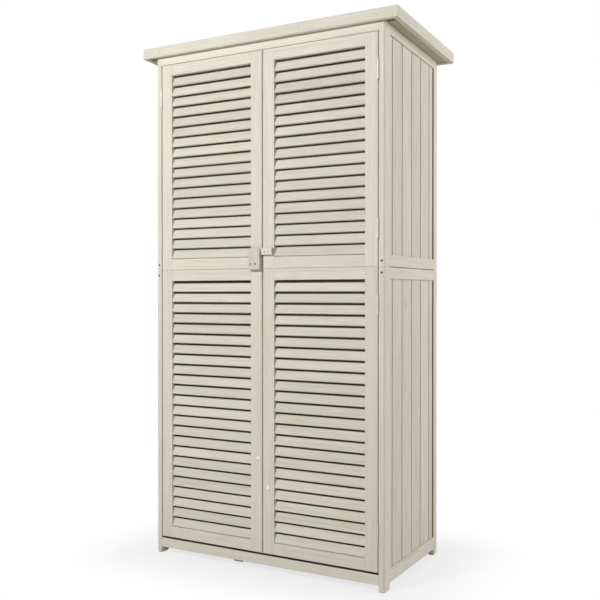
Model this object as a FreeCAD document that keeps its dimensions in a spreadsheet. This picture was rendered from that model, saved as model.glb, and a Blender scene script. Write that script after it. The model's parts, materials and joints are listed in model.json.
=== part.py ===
import FreeCAD, Part
import math
import os

import Sketcher
from FreeCAD import Rotation, Vector

# Louvred garden storage cabinet: a lower and an upper wooden section, two hinged doors,
# a slide latch and a pent roof. X runs to the right, Y to the back and Z up, in millimetres.
# The origin lies on the ground under the middle of the roof's outline.

SIZES = {
    "overall_width": 870,
    "overall_depth": 465,
    "overall_height": 1600,
    "roof_tilt": 2.1,
    "fascia_height": 32,
    "fascia_thickness": 16,
    "front_fascia_thickness": 13,
    "roof_board_thickness": 10,
    "felt_thickness": 2,
    "roof_board_count": 6,
    "roof_batten_width": 23,
    "roof_batten_gap": 3,
    "front_overhang": 15,
    "body_width": 784,
    "body_depth": 418,
    "section_joint": 897,
    "post_width": 18,
    "front_post_depth": 36,
    "back_post_depth": 30,
    "post_round": 6,
    "foot_bevel": 3,
    "rail_thickness": 18,
    "rail_underside": 20,
    "side_bottom_rail_top": 58,
    "middle_rail_height": 33,
    "middle_rail_gap": 1.6,
    "side_top_rail_height": 46,
    "back_top_rail_height": 44,
    "front_bottom_rail_top": 49,
    "wall_board_thickness": 8,
    "wall_board_recess": 5.5,
    "wall_board_pitch": 73,
    "first_side_board": 30,
    "groove_depth": 5,
    "groove_play": 0.2,
    "back_board_pitch": 76,
    "tongue_length": 3,
    "tongue_thickness": 2.5,
    "board_gap": 4,
    "door_thickness": 22,
    "door_bottom": 55,
    "door_top": 1542,
    "door_head_gap": 1.3,
    "hinge_gap": 3,
    "seam_gap": 4,
    "stile_width": 38,
    "door_rail_height": 34,
    "stile_ease": 1.5,
    "stop_depth": 13.5,
    "stop_drop": 15.5,
    "louvre_tilt": 23,
    "louvre_thickness": 6,
    "louvre_width": 31.5,
    "louvre_round": 1.5,
    "louvre_recess": 1,
    "louvre_rise": 0.2,
    "louvre_head_room": 2.5,
    "louvre_housing": 4,
    "louvre_play": 0.1,
    "lower_louvre_count": 24,
    "upper_louvre_count": 18,
    "floor_top": 58,
    "floor_thickness": 10,
    "bearer_size": 20,
    "middle_foot_width": 30,
    "middle_foot_left": 125,
    "middle_foot_setback": 45,
    "shelf_thickness": 10,
    "shelf_front_setback": 36,
    "shelf_board_count": 5,
    "shelf_board_gap": 2,
    "lower_shelf_top": 470,
    "middle_shelf_top": 897,
    "upper_shelf_top": 1225,
    "cleat_height": 20,
    "cleat_width": 15,
    "cleat_lap": 10,
    "hinge_height": 54,
    "hinge_leaf": 1.2,
    "hinge_leaf_depth": 21,
    "hinge_end_distance": 105,
    "barrel_radius": 2.3,
    "barrel_proud": 0.2,
    "pin_radius": 1.2,
    "pin_play": 0.05,
    "pin_head_radius": 1.9,
    "pin_head_height": 1.5,
    "knuckle_play": 0.3,
    "keeper_width": 39.5,
    "keeper_height": 64,
    "keeper_thickness": 14.2,
    "keeper_lip": 4.7,
    "keeper_seam_distance": 1.5,
    "keeper_below_joint": 3,
    "bar_length": 36.5,
    "bar_height": 21,
    "bar_thickness": 7.5,
    "bar_seam_distance": 0.5,
    "bar_clearance": 1,
    "slide_rail_length": 33,
    "slide_rail_stem": 5,
    "slide_rail_flange": 11,
    "slide_rail_depth": 6,
    "slide_rail_neck": 3.5,
    "slide_play": 0.3,
    "plate_width": 20,
    "plate_height": 90,
    "plate_thickness": 2,
    "screw_radius": 2,
    "screw_head_radius": 3.5,
    "screw_head_height": 1.6,
    "frame_screw_length": 60,
    "door_screw_length": 15,
    "keeper_screw_proud": 0.8,
    "keeper_screw_height": 16.5,
    "keeper_screw_seam_distance": 17,
    "keeper_screw_spacing": 16,
    "plate_screw_inset": 12,
}

doc = FreeCAD.newDocument("GardenCabinet")
sheet = doc.addObject("Spreadsheet::Sheet", "Sizes")


class Size:
    """A length that keeps its value and the expression of sheet cells that gives it."""

    def __init__(self, value, text):
        self.value = value
        self.text = text

    def __add__(self, other):
        other = as_size(other)
        return Size(self.value + other.value, f"({self.text} + {other.text})")

    def __radd__(self, other):
        return as_size(other) + self

    def __sub__(self, other):
        other = as_size(other)
        return Size(self.value - other.value, f"({self.text} - {other.text})")

    def __rsub__(self, other):
        return as_size(other) - self

    def __mul__(self, other):
        other = as_size(other)
        return Size(self.value * other.value, f"({self.text} * {other.text})")

    def __rmul__(self, other):
        return as_size(other) * self

    def __truediv__(self, other):
        other = as_size(other)
        return Size(self.value / other.value, f"({self.text} / {other.text})")

    def __rtruediv__(self, other):
        return as_size(other) / self

    def __neg__(self):
        return Size(-self.value, f"(0 - {self.text})")


def as_size(number):
    return number if isinstance(number, Size) else Size(float(number), repr(float(number)))


def sine(angle):
    return Size(math.sin(math.radians(angle.value)), f"sin({angle.text})")


def cosine(angle):
    return Size(math.cos(math.radians(angle.value)), f"cos({angle.text})")


def tangent(angle):
    return Size(math.tan(math.radians(angle.value)), f"tan({angle.text})")


def fill_sheet():
    """Write each driving size as a name and a plain number, and give the number its alias."""
    for row, (name, value) in enumerate(SIZES.items(), start=1):
        sheet.set(f"A{row}", name)
        sheet.set(f"B{row}", str(value))
        sheet.setAlias(f"B{row}", name)
    doc.recompute()


def cell(name):
    return Size(float(SIZES[name]), f"Sizes.{name}")


fill_sheet()

nodes = []


def keep(piece):
    """Note a finished sub-part for the checks and the export."""
    nodes.append(piece)
    return piece


def bind(thing, path, size):
    thing.setExpression(path, as_size(size).text)


def place(piece, corner):
    for axis, distance in zip("xyz", corner):
        bind(piece, f"Placement.Base.{axis}", distance)
    return piece


def tilt_with_roof(piece):
    """Lean a piece back with the roof, about its own corner."""
    piece.Placement.Rotation = Rotation(Vector(-1, 0, 0), SIZES["roof_tilt"])
    piece.setExpression("Placement.Rotation.Angle", "Sizes.roof_tilt * 1deg")
    return piece


def box(name, corner, extent):
    piece = doc.addObject("Part::Box", name)
    piece.Label = name
    for side, size in zip(("Length", "Width", "Height"), extent):
        bind(piece, side, size)
    return place(piece, corner)


def group(name, pieces):
    """Join separate solids that share one node."""
    bundle = doc.addObject("Part::Compound", name)
    bundle.Label = name
    bundle.Links = pieces
    return bundle


def cut(name, base, tool):
    piece = doc.addObject("Part::Cut", name)
    piece.Label = name
    piece.Base = base
    piece.Tool = tool
    return piece


def fuse(name, pieces):
    piece = doc.addObject("Part::MultiFuse", name)
    piece.Label = name
    piece.Shapes = pieces
    return piece


def new_body(name):
    body = doc.addObject("PartDesign::Body", name)
    body.Label = name
    body.AllowCompound = True
    return body


def origin_feature(body, role):
    return next(item for item in body.Origin.OriginFeatures if item.Role == role)


def new_sketch(body, name, plane):
    sketch = body.newObject("Sketcher::SketchObject", name)
    sketch.AttachmentSupport = [(origin_feature(body, plane), "")]
    sketch.MapMode = "FlatFace"
    return sketch


def hold(sketch, kind, items, name, size):
    """Add a dimension to a sketch and bind it to its size."""
    index = sketch.addConstraint(Sketcher.Constraint(kind, *items, as_size(size).value))
    sketch.renameConstraint(index, name)
    bind(sketch, f"Constraints.{name}", size)


def hold_point(sketch, line, end, across, up, name):
    """Fix one end of a line at its distances from the sketch's origin."""
    places = (("DistanceX", across, -2, "across"), ("DistanceY", up, -1, "up"))
    for kind, distance, axis, word in places:
        if abs(as_size(distance).value) < 1e-9:
            sketch.addConstraint(Sketcher.Constraint("PointOnObject", line, end, axis))
        else:
            hold(sketch, kind, (-1, 1, line, end), f"{name}_{word}", distance)


def draw_outline(sketch, outline, first=0):
    """Draw a closed outline of straight lines through points given as sizes."""
    corners = [Vector(as_size(across).value, as_size(up).value, 0) for across, up in outline]
    count = len(corners)
    for index, corner in enumerate(corners):
        sketch.addGeometry(Part.LineSegment(corner, corners[(index + 1) % count]), False)
    for index in range(count):
        following = first + (index + 1) % count
        sketch.addConstraint(Sketcher.Constraint("Coincident", first + index, 2, following, 1))
    for index, (across, up) in enumerate(outline):
        hold_point(sketch, first + index, 1, across, up, f"corner{first + index}")


def pad(body, name, sketch, length, backwards=False):
    feature = body.newObject("PartDesign::Pad", name)
    feature.Profile = sketch
    bind(feature, "Length", length)
    feature.Reversed = backwards
    sketch.Visibility = False
    body.Tip = feature
    return feature


def pocket(body, name, sketch, depth, backwards=False):
    """Cut a sketch into the body, and stop if the cut has taken nothing away."""
    doc.recompute()
    before = body.Shape.Volume
    feature = body.newObject("PartDesign::Pocket", name)
    feature.Profile = sketch
    bind(feature, "Length", depth)
    feature.Reversed = backwards
    body.Tip = feature
    doc.recompute()
    if body.Shape.Volume > before - 1e-6:
        raise ValueError(f"{body.Label}: {name} cuts nothing")
    return feature


def repeat_upwards(body, name, feature, pitch, count):
    """Repeat a feature along the body's own vertical."""
    pattern = body.newObject("PartDesign::LinearPattern", name)
    pattern.Originals = [feature]
    pattern.Direction = (origin_feature(body, "Z_Axis"), [""])
    bind(pattern, "Length", pitch * (count - 1))
    bind(pattern, "Occurrences", count)
    body.Tip = pattern
    return pattern


def prism(name, plane, outline, length, backwards=False):
    """Draw an outline on one of the body's planes and pad it straight out."""
    body = new_body(name)
    sketch = new_sketch(body, f"{name}_outline", plane)
    draw_outline(sketch, outline)
    pad(body, f"{name}_pad", sketch, length, backwards)
    return body


def upright_edges(body, across, along):
    """Name the vertical edges of a body that stand at one place of its own plan."""
    doc.recompute()
    names = []
    for index, edge in enumerate(body.Tip.Shape.Edges, start=1):
        ends = [vertex.Point for vertex in edge.Vertexes]
        if len(ends) == 2 and abs(ends[0].z - ends[1].z) > 1:
            if all(math.hypot(end.x - across, end.y - along) < 1e-4 for end in ends):
                names.append(f"Edge{index}")
    return names


def fillet(body, name, edges, radius):
    base = body.Tip
    feature = body.newObject("PartDesign::Fillet", name)
    feature.Base = (base, edges)
    bind(feature, "Radius", radius)
    body.Tip = feature
    return feature


# Places shared by several sub-parts.

FRONT = cell("front_overhang") - cell("overall_depth") / 2
BACK = FRONT + cell("body_depth")
HALF_BODY = cell("body_width") / 2
INNER_HALF = HALF_BODY - cell("post_width")
JOINT = cell("section_joint")
SIDES = (("left", -1), ("right", 1))
BOARD_OUTSIDE = HALF_BODY - cell("wall_board_recess")
BOARD_INSIDE = BOARD_OUTSIDE - cell("wall_board_thickness")

# The roof leans back about its top front edge. Its bottom front edge is the foremost one.
TILT = cell("roof_tilt")
ROOF_FRONT = cell("fascia_height") * sine(TILT) - cell("overall_depth") / 2
ROOF_LENGTH = (cell("overall_depth") - cell("fascia_height") * sine(TILT)) / cosine(TILT)
ROOF_LAYERS = cell("felt_thickness") + cell("roof_board_thickness")


def wall_top(y):
    """Height of the roof boards' underside above a place between front and back."""
    front_height = cell("overall_height") - ROOF_LAYERS / cosine(TILT)
    return front_height - (y - ROOF_FRONT) * tangent(TILT)


def side_rail_underside(y):
    return wall_top(y) - cell("side_top_rail_height")


def mirrored(sign, inner, outer):
    """Lower X of a piece that reaches from inner to outer on the left or right side."""
    return inner if sign > 0 else -outer


# Grooves for the wall boards, cut into posts and rails with one blank for each panel.

SIDE_START = FRONT + cell("front_post_depth") - cell("groove_depth")
SIDE_END = BACK - cell("back_post_depth") + cell("groove_depth")
LOWER_PANEL_BOTTOM = cell("side_bottom_rail_top") - cell("groove_depth")
LOWER_PANEL_TOP = JOINT - cell("middle_rail_height") + cell("groove_depth")
UPPER_PANEL_BOTTOM = JOINT + cell("middle_rail_height") - cell("groove_depth")
BLANK_INSIDE = BOARD_INSIDE - cell("groove_play") / 2
BLANK_THICKNESS = cell("wall_board_thickness") + cell("groove_play")
SLOPED_GROOVE_DEPTH = cell("groove_depth") + 4


def side_blank(side, sign, section):
    corner_x = mirrored(sign, BLANK_INSIDE, BLANK_INSIDE + BLANK_THICKNESS)
    length = SIDE_END - SIDE_START
    if section == "lower":
        height = LOWER_PANEL_TOP - LOWER_PANEL_BOTTOM
        corner = (corner_x, SIDE_START, LOWER_PANEL_BOTTOM)
        return box(f"{side}_lower_panel_blank", corner, (BLANK_THICKNESS, length, height))
    front_top = side_rail_underside(SIDE_START) + SLOPED_GROOVE_DEPTH - UPPER_PANEL_BOTTOM
    back_top = side_rail_underside(SIDE_END) + SLOPED_GROOVE_DEPTH - UPPER_PANEL_BOTTOM
    outline = [(0, 0), (length, 0), (length, back_top), (0, front_top)]
    blank = prism(f"{side}_upper_panel_blank", "YZ_Plane", outline, BLANK_THICKNESS)
    return place(blank, (corner_x, SIDE_START, UPPER_PANEL_BOTTOM))


BACK_PANEL_INSIDE = BACK - cell("wall_board_recess") - cell("wall_board_thickness")
BACK_RAIL_INSIDE = BACK - cell("rail_thickness")
BACK_TOP_RAIL_UNDERSIDE = wall_top(BACK) - cell("back_top_rail_height")
BACK_PANEL_HALF = INNER_HALF + cell("groove_depth")


def back_panel_span(section):
    """Bottom and top of the back boards, groove depth included."""
    if section == "lower":
        return LOWER_PANEL_BOTTOM, LOWER_PANEL_TOP
    return UPPER_PANEL_BOTTOM, BACK_TOP_RAIL_UNDERSIDE + cell("groove_depth")


def back_blank(section):
    bottom, top = back_panel_span(section)
    corner = (-BACK_PANEL_HALF, BACK_PANEL_INSIDE - cell("groove_play") / 2, bottom)
    extent = (BACK_PANEL_HALF * 2, BLANK_THICKNESS, top - bottom)
    return box(f"back_{section}_panel_blank", corner, extent)


side_blanks = {
    (side, section): side_blank(side, sign, section)
    for side, sign in SIDES
    for section in ("lower", "upper")
}
back_blanks = {section: back_blank(section) for section in ("lower", "upper")}


def post_outline(section, front, depth):
    if section == "lower":
        return [(0, 0), (depth, 0), (depth, JOINT), (0, JOINT)]
    front_top = wall_top(front) - JOINT
    back_top = wall_top(front + depth) - JOINT
    return [(0, 0), (depth, 0), (depth, back_top), (0, front_top)]


def bevel_foot(body):
    """Take the sharp edge off the foot of a lower post."""
    doc.recompute()
    base = body.Tip
    ground = [
        f"Edge{index}"
        for index, edge in enumerate(base.Shape.Edges, start=1)
        if edge.BoundBox.ZMax < 1e-4
    ]
    feature = body.newObject("PartDesign::Chamfer", f"{body.Label}_bevel")
    feature.Base = (base, ground)
    bind(feature, "Size", cell("foot_bevel"))
    body.Tip = feature


def make_post(end, side, sign, section):
    """One corner post: rounded outer corner, grooves for the wall boards."""
    depth = cell(f"{end}_post_depth")
    front = FRONT if end == "front" else BACK - depth
    name = f"{end}_{side}_{section}_post"
    body = prism(f"{name}_blank", "YZ_Plane", post_outline(section, front, depth), cell("post_width"))
    outer_x = cell("post_width").value if sign > 0 else 0
    outer_y = 0 if end == "front" else depth.value
    fillet(body, f"{name}_round", upright_edges(body, outer_x, outer_y), cell("post_round"))
    if section == "lower":
        bevel_foot(body)
    base = 0 if section == "lower" else JOINT
    place(body, (mirrored(sign, INNER_HALF, HALF_BODY), front, base))
    if end == "front":
        return keep(cut(name, body, side_blanks[side, section]))
    grooved = cut(f"{name}_side_groove", body, side_blanks[side, section])
    return keep(cut(name, grooved, back_blanks[section]))


def make_side_rails(side, sign):
    """Four rails between the posts of one side. The top one follows the roof."""
    x = mirrored(sign, INNER_HALF, HALF_BODY)
    thickness = cell("rail_thickness")
    start = FRONT + cell("front_post_depth")
    end = BACK - cell("back_post_depth")
    length = end - start
    middle = cell("middle_rail_height")
    gap = cell("middle_rail_gap") / 2
    underside = cell("rail_underside")
    levels = (
        ("bottom", "lower", underside, cell("side_bottom_rail_top") - underside),
        ("lower_middle", "lower", JOINT - middle, middle - gap),
        ("upper_middle", "upper", JOINT + gap, middle - gap),
    )
    rails = []
    for word, section, bottom, height in levels:
        blank = box(f"{side}_{word}_rail_blank", (x, start, bottom), (thickness, length, height))
        rails.append(cut(f"{side}_{word}_rail", blank, side_blanks[side, section]))
    low = side_rail_underside(end)
    outline = [
        (0, side_rail_underside(start) - low),
        (length, 0),
        (length, wall_top(end) - low),
        (0, wall_top(start) - low),
    ]
    sloped = place(prism(f"{side}_top_rail_blank", "YZ_Plane", outline, thickness), (x, start, low))
    rails.append(cut(f"{side}_top_rail", sloped, side_blanks[side, "upper"]))
    return keep(group(f"{side}_side_rails", rails))


def board_outline(width, thickness, tongue, groove):
    """Cross-section of a wall board: show face at full thickness, tongue at its far edge."""
    gap = cell("board_gap") / 2
    length = cell("tongue_length")
    half = cell("tongue_thickness") / 2
    middle = thickness / 2
    play = cell("groove_play")
    points = [(0, 0), (width, 0)]
    if tongue:
        points += [(width, middle - half), (width + length, middle - half)]
        points += [(width + length, middle + half), (width, middle + half)]
    points += [(width, thickness - gap), (width - gap, thickness - gap), (width - gap, thickness)]
    points += [(gap, thickness), (gap, thickness - gap), (0, thickness - gap)]
    if groove:
        points += [(0, middle + half + play), (length + play, middle + half + play)]
        points += [(length + play, middle - half - play), (0, middle - half - play)]
    return points


def board_starts(total, pitch, first):
    """Start and width of each board of a row, with what is left as the last one."""
    starts = [(Size(0.0, "0"), first)]
    while starts[-1][0].value + starts[-1][1].value < total.value - 1e-6:
        start = starts[-1][0] + starts[-1][1]
        width = pitch if start.value + pitch.value <= total.value else total - start
        starts.append((start, width))
    return starts


def make_side_boards(side, sign, section):
    """Upright tongued boards of one side panel, ending inside the grooves."""
    first = cell("first_side_board") + cell("groove_depth")
    row = board_starts(SIDE_END - SIDE_START, cell("wall_board_pitch"), first)
    bottom = LOWER_PANEL_BOTTOM if section == "lower" else UPPER_PANEL_BOTTOM
    boards = []
    for index, (start, width) in enumerate(row):
        y = SIDE_START + start
        top = LOWER_PANEL_TOP
        if section == "upper":
            top = side_rail_underside(y) + cell("groove_depth")
        last = index == len(row) - 1
        outline = board_outline(width, cell("wall_board_thickness"), not last, index > 0)
        turned = [(across if sign > 0 else -across, along) for along, across in outline]
        name = f"{side}_{section}_board_{index + 1}"
        board = prism(name, "XY_Plane", turned, top - bottom)
        boards.append(place(board, (sign * BOARD_INSIDE, y, bottom)))
    return keep(group(f"{side}_{section}_side_boards", boards))


def make_back_boards():
    """Upright boards of the lower and the upper back panel."""
    boards = []
    total = BACK_PANEL_HALF * 2
    first = cell("back_board_pitch") + cell("groove_depth")
    for section in ("lower", "upper"):
        bottom, top = back_panel_span(section)
        row = board_starts(total, cell("back_board_pitch"), first)
        for index, (start, width) in enumerate(row):
            last = index == len(row) - 1
            outline = board_outline(width, cell("wall_board_thickness"), not last, index > 0)
            name = f"back_{section}_board_{index + 1}"
            board = prism(name, "XY_Plane", outline, top - bottom)
            boards.append(place(board, (start - BACK_PANEL_HALF, BACK_PANEL_INSIDE, bottom)))
    return keep(group("back_boards", boards))


def make_back_rails():
    middle = cell("middle_rail_height")
    gap = cell("middle_rail_gap") / 2
    underside = cell("rail_underside")
    thickness = cell("rail_thickness")
    levels = (
        ("bottom", "lower", underside, cell("side_bottom_rail_top") - underside),
        ("lower_middle", "lower", JOINT - middle, middle - gap),
        ("upper_middle", "upper", JOINT + gap, middle - gap),
    )
    rails = []
    for word, section, bottom, height in levels:
        corner = (-INNER_HALF, BACK_RAIL_INSIDE, bottom)
        blank = box(f"back_{word}_rail_blank", corner, (INNER_HALF * 2, thickness, height))
        rails.append(cut(f"back_{word}_rail", blank, back_blanks[section]))
    outline = [
        (0, 0),
        (thickness, 0),
        (thickness, cell("back_top_rail_height")),
        (0, wall_top(BACK_RAIL_INSIDE) - BACK_TOP_RAIL_UNDERSIDE),
    ]
    sloped = prism("back_top_rail_blank", "YZ_Plane", outline, INNER_HALF * 2)
    place(sloped, (-INNER_HALF, BACK_RAIL_INSIDE, BACK_TOP_RAIL_UNDERSIDE))
    rails.append(cut("back_top_rail", sloped, back_blanks["upper"]))
    return keep(group("back_rails", rails))


def make_front_rails():
    """The rail over the doors, with the lip that stops them, and the rail under them."""
    underside = cell("door_top") + cell("door_head_gap")
    lip_start = cell("door_thickness") + 0.5
    lip_end = lip_start + cell("stop_depth")
    drop = cell("stop_drop")
    low = underside - drop
    outline = [
        (0, drop),
        (lip_start, drop),
        (lip_start, 0),
        (lip_end, 0),
        (lip_end, wall_top(FRONT + lip_end) - low),
        (0, wall_top(FRONT) - low),
    ]
    top_rail = prism("front_top_rail", "YZ_Plane", outline, INNER_HALF * 2)
    keep(place(top_rail, (-INNER_HALF, FRONT, low)))
    height = cell("front_bottom_rail_top") - cell("rail_underside")
    corner = (-INNER_HALF, FRONT, cell("rail_underside"))
    keep(box("front_bottom_rail", corner, (INNER_HALF * 2, cell("rail_thickness"), height)))


def make_floor():
    """Floor boards on three bearers, and the small foot under the floor."""
    top = cell("floor_top")
    thickness = cell("floor_thickness")
    front = FRONT + cell("door_thickness") + 0.5
    depth = BACK_RAIL_INSIDE - front
    count = 5
    width = depth / count
    boards = []
    for index in range(count):
        corner = (-INNER_HALF, front + width * index, top - thickness)
        boards.append(box(f"floor_board_{index + 1}", corner, (INNER_HALF * 2, width, thickness)))
    bearer = cell("bearer_size")
    bearer_front = FRONT + cell("rail_thickness")
    bearer_length = BACK_RAIL_INSIDE - bearer_front
    bearer_bottom = top - thickness - bearer
    foot_x = -cell("middle_foot_left")
    starts = (("left", -INNER_HALF), ("middle", foot_x), ("right", INNER_HALF - bearer))
    bearers = [
        box(f"{word}_bearer", (x, bearer_front, bearer_bottom), (bearer, bearer_length, bearer))
        for word, x in starts
    ]
    keep(group("floor_boards", boards))
    keep(group("floor_bearers", bearers))
    foot_width = cell("middle_foot_width")
    foot_corner = (foot_x + (bearer - foot_width) / 2, FRONT + cell("middle_foot_setback"), 0)
    keep(box("middle_foot", foot_corner, (foot_width, foot_width, bearer_bottom)))


def make_shelf(word):
    """One shelf of boards laid from side to side."""
    count = cell("shelf_board_count")
    gap = cell("shelf_board_gap")
    front = FRONT + cell("shelf_front_setback")
    width = (BACK_RAIL_INSIDE - front + gap) / count - gap
    bottom = cell(f"{word}_shelf_top") - cell("shelf_thickness")
    boards = []
    for index in range(SIZES["shelf_board_count"]):
        corner = (-INNER_HALF, front + (width + gap) * index, bottom)
        extent = (INNER_HALF * 2, width, cell("shelf_thickness"))
        boards.append(box(f"{word}_shelf_board_{index + 1}", corner, extent))
    return keep(group(f"{word}_shelf", boards))


def make_cleats(side, sign):
    """Battens on the side frame that carry the shelves."""
    front = FRONT + cell("shelf_front_setback") - cell("cleat_lap")
    length = BACK_RAIL_INSIDE - front
    width = cell("cleat_width")
    cleats = []
    for word in ("lower", "middle", "upper"):
        bottom = cell(f"{word}_shelf_top") - cell("shelf_thickness") - cell("cleat_height")
        corner = (mirrored(sign, INNER_HALF - width, INNER_HALF), front, bottom)
        cleats.append(box(f"{side}_{word}_cleat", corner, (width, length, cell("cleat_height"))))
    return keep(group(f"{side}_shelf_cleats", cleats))


def roof_box(name, x, along, down, extent):
    """A box in the leaning roof: distance along from its front edge, down from its top face."""
    y = ROOF_FRONT + along * cosine(TILT) - down * sine(TILT)
    z = cell("overall_height") - along * sine(TILT) - down * cosine(TILT)
    return tilt_with_roof(box(name, (x, y, z), extent))


def make_roof():
    """Boards, felt, battens and the fascias round them."""
    half = cell("overall_width") / 2
    rim = cell("fascia_thickness")
    front_rim = cell("front_fascia_thickness")
    height = cell("fascia_height")
    inner_length = ROOF_LENGTH - front_rim - rim
    inner_width = half * 2 - rim * 2
    felt = cell("felt_thickness")
    thickness = cell("roof_board_thickness")
    width = inner_length / cell("roof_board_count")
    boards = []
    for index in range(SIZES["roof_board_count"]):
        start = front_rim + width * index
        extent = (inner_width, width, thickness)
        boards.append(roof_box(f"roof_board_{index + 1}", rim - half, start, ROOF_LAYERS, extent))
    keep(group("roof_boards", boards))
    keep(roof_box("roof_felt", rim - half, front_rim, felt, (inner_width, inner_length, felt)))
    keep(roof_box("front_fascia", -half, 0, height, (half * 2, front_rim, height)))
    keep(roof_box("back_fascia", -half, ROOF_LENGTH - rim, height, (half * 2, rim, height)))
    keep(roof_box("left_fascia", -half, front_rim, height, (rim, inner_length, height)))
    keep(roof_box("right_fascia", half - rim, front_rim, height, (rim, inner_length, height)))
    batten = cell("roof_batten_width")
    gap = cell("roof_batten_gap")
    end_gap = cell("front_overhang") + rim
    battens = []
    for side, sign in SIDES:
        x = mirrored(sign, HALF_BODY + gap, HALF_BODY + gap + batten)
        extent = (batten, ROOF_LENGTH - end_gap * 2, height - ROOF_LAYERS)
        battens.append(roof_box(f"{side}_roof_batten", x, end_gap, height, extent))
    keep(group("roof_battens", battens))


# Doors. Each has a lower and an upper section, tied together behind by plates.

DOOR_WIDTH = INNER_HALF - cell("hinge_gap") - cell("seam_gap") / 2
LOUVRE_SPAN = DOOR_WIDTH - cell("stile_width") * 2


def section_span(section):
    """Bottom and top of a door section. The two meet with a hair's gap between them."""
    if section == "lower":
        return cell("door_bottom"), JOINT - 0.25
    return JOINT + 0.25, cell("door_top")


def louvre_pitch(section):
    bottom, top = section_span(section)
    opening = top - bottom - cell("door_rail_height") * 2
    return (opening - cell("louvre_head_room")) / cell(f"{section}_louvre_count")


def draw_louvre(sketch, play, bottom):
    """Draw a louvre's section: a slat that leans back, with both lower edges rounded."""
    lean = cell("louvre_tilt")
    radius = cell("louvre_round") + play
    thickness = cell("louvre_thickness") + play * 2
    blade = cell("louvre_width") - cell("louvre_round") + play
    foot = cell("louvre_thickness") - cell("louvre_round") * 2
    across = cell("louvre_recess") + cell("louvre_round")
    up = bottom + cell("louvre_rise") + cell("louvre_round") + foot * sine(lean)
    angle = math.radians(lean.value)
    rise = Vector(math.sin(angle), math.cos(angle), 0)
    through = Vector(math.cos(angle), -math.sin(angle), 0)
    front_centre = Vector(across.value, up.value, 0)
    back_centre = front_centre + through * foot.value
    front_low = front_centre - through * radius.value
    back_low = back_centre + through * radius.value
    front_high = front_low + rise * blade.value
    back_high = back_low + rise * blade.value
    sketch.addGeometry(Part.LineSegment(front_low, front_high), False)
    sketch.addGeometry(Part.LineSegment(front_high, back_high), False)
    sketch.addGeometry(Part.LineSegment(back_high, back_low), False)
    foot_start = back_centre - rise * radius.value
    foot_end = front_centre - rise * radius.value
    sketch.addGeometry(Part.LineSegment(foot_start, foot_end), False)
    upright = Vector(0, 0, 1)
    half_turn, quarter = math.pi, math.pi / 2
    front_round = Part.Circle(front_centre, upright, radius.value)
    back_round = Part.Circle(back_centre, upright, radius.value)
    ends = (half_turn - angle, half_turn + quarter - angle, half_turn * 2 - angle)
    sketch.addGeometry(Part.ArcOfCircle(front_round, ends[0], ends[1]), False)
    sketch.addGeometry(Part.ArcOfCircle(back_round, ends[1], ends[2]), False)
    for pair in ((0, 2, 1, 1), (1, 2, 2, 1)):
        sketch.addConstraint(Sketcher.Constraint("Coincident", *pair))
    for pair in ((4, 1, 0, 1), (4, 2, 3, 2), (5, 1, 3, 1), (5, 2, 2, 2)):
        sketch.addConstraint(Sketcher.Constraint("Tangent", *pair))
    sketch.addConstraint(Sketcher.Constraint("Parallel", 0, 2))
    sketch.addConstraint(Sketcher.Constraint("Perpendicular", 0, 1))
    sketch.addConstraint(Sketcher.Constraint("Perpendicular", 0, 3))
    hold(sketch, "Distance", (0,), "blade", blade)
    hold(sketch, "Distance", (1,), "thickness", thickness)
    hold(sketch, "Radius", (4,), "front_radius", radius)
    hold(sketch, "Radius", (5,), "back_radius", radius)
    hold(sketch, "DistanceX", (-1, 1, 4, 3), "centre_across", across)
    hold(sketch, "DistanceY", (-1, 1, 4, 3), "centre_up", up)
    index = sketch.addConstraint(Sketcher.Constraint("Angle", 0, math.pi / 2 - angle))
    sketch.renameConstraint(index, "lean")
    sketch.setExpression("Constraints.lean", f"(90 - {lean.text}) * 1deg")


def make_louvres(side, sign, section):
    """All the louvres of one door section, housed in its stiles."""
    bottom, _ = section_span(section)
    name = f"{side}_{section}_louvres"
    body = new_body(name)
    sketch = new_sketch(body, f"{name}_section", "YZ_Plane")
    draw_louvre(sketch, Size(0.0, "0"), Size(0.0, "0"))
    length = LOUVRE_SPAN + cell("louvre_housing") * 2
    first = pad(body, f"{name}_slat", sketch, length)
    count = cell(f"{section}_louvre_count")
    repeat_upwards(body, f"{name}_row", first, louvre_pitch(section), count)
    inner = cell("seam_gap") / 2 + cell("stile_width") - cell("louvre_housing")
    x = mirrored(sign, inner, inner + length)
    return keep(place(body, (x, FRONT, bottom + cell("door_rail_height"))))


def make_stile(side, sign, section, place_word):
    """A door stile with a slanted housing for every louvre in its inner edge."""
    bottom, top = section_span(section)
    name = f"{side}_{section}_{place_word}_stile"
    seam_edge = cell("seam_gap") / 2
    inner_edge = seam_edge + cell("stile_width")
    if place_word == "hinge":
        inner_edge = seam_edge + DOOR_WIDTH - cell("stile_width")
    grows_right = (place_word == "hinge") == (sign > 0)
    thickness = cell("door_thickness")
    outline = [(0, 0), (thickness, 0), (thickness, top - bottom), (0, top - bottom)]
    body = prism(name, "YZ_Plane", outline, cell("stile_width"), not grows_right)
    far = cell("stile_width").value if grows_right else -cell("stile_width").value
    fillet(body, f"{name}_ease", upright_edges(body, far, 0), cell("stile_ease"))
    sketch = new_sketch(body, f"{name}_housing_section", "YZ_Plane")
    draw_louvre(sketch, cell("louvre_play"), cell("door_rail_height"))
    depth = cell("louvre_housing")
    housing = pocket(body, f"{name}_housing", sketch, depth, grows_right)
    count = cell(f"{section}_louvre_count")
    repeat_upwards(body, f"{name}_housings", housing, louvre_pitch(section), count)
    return keep(place(body, (sign * inner_edge, FRONT, bottom)))


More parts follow.
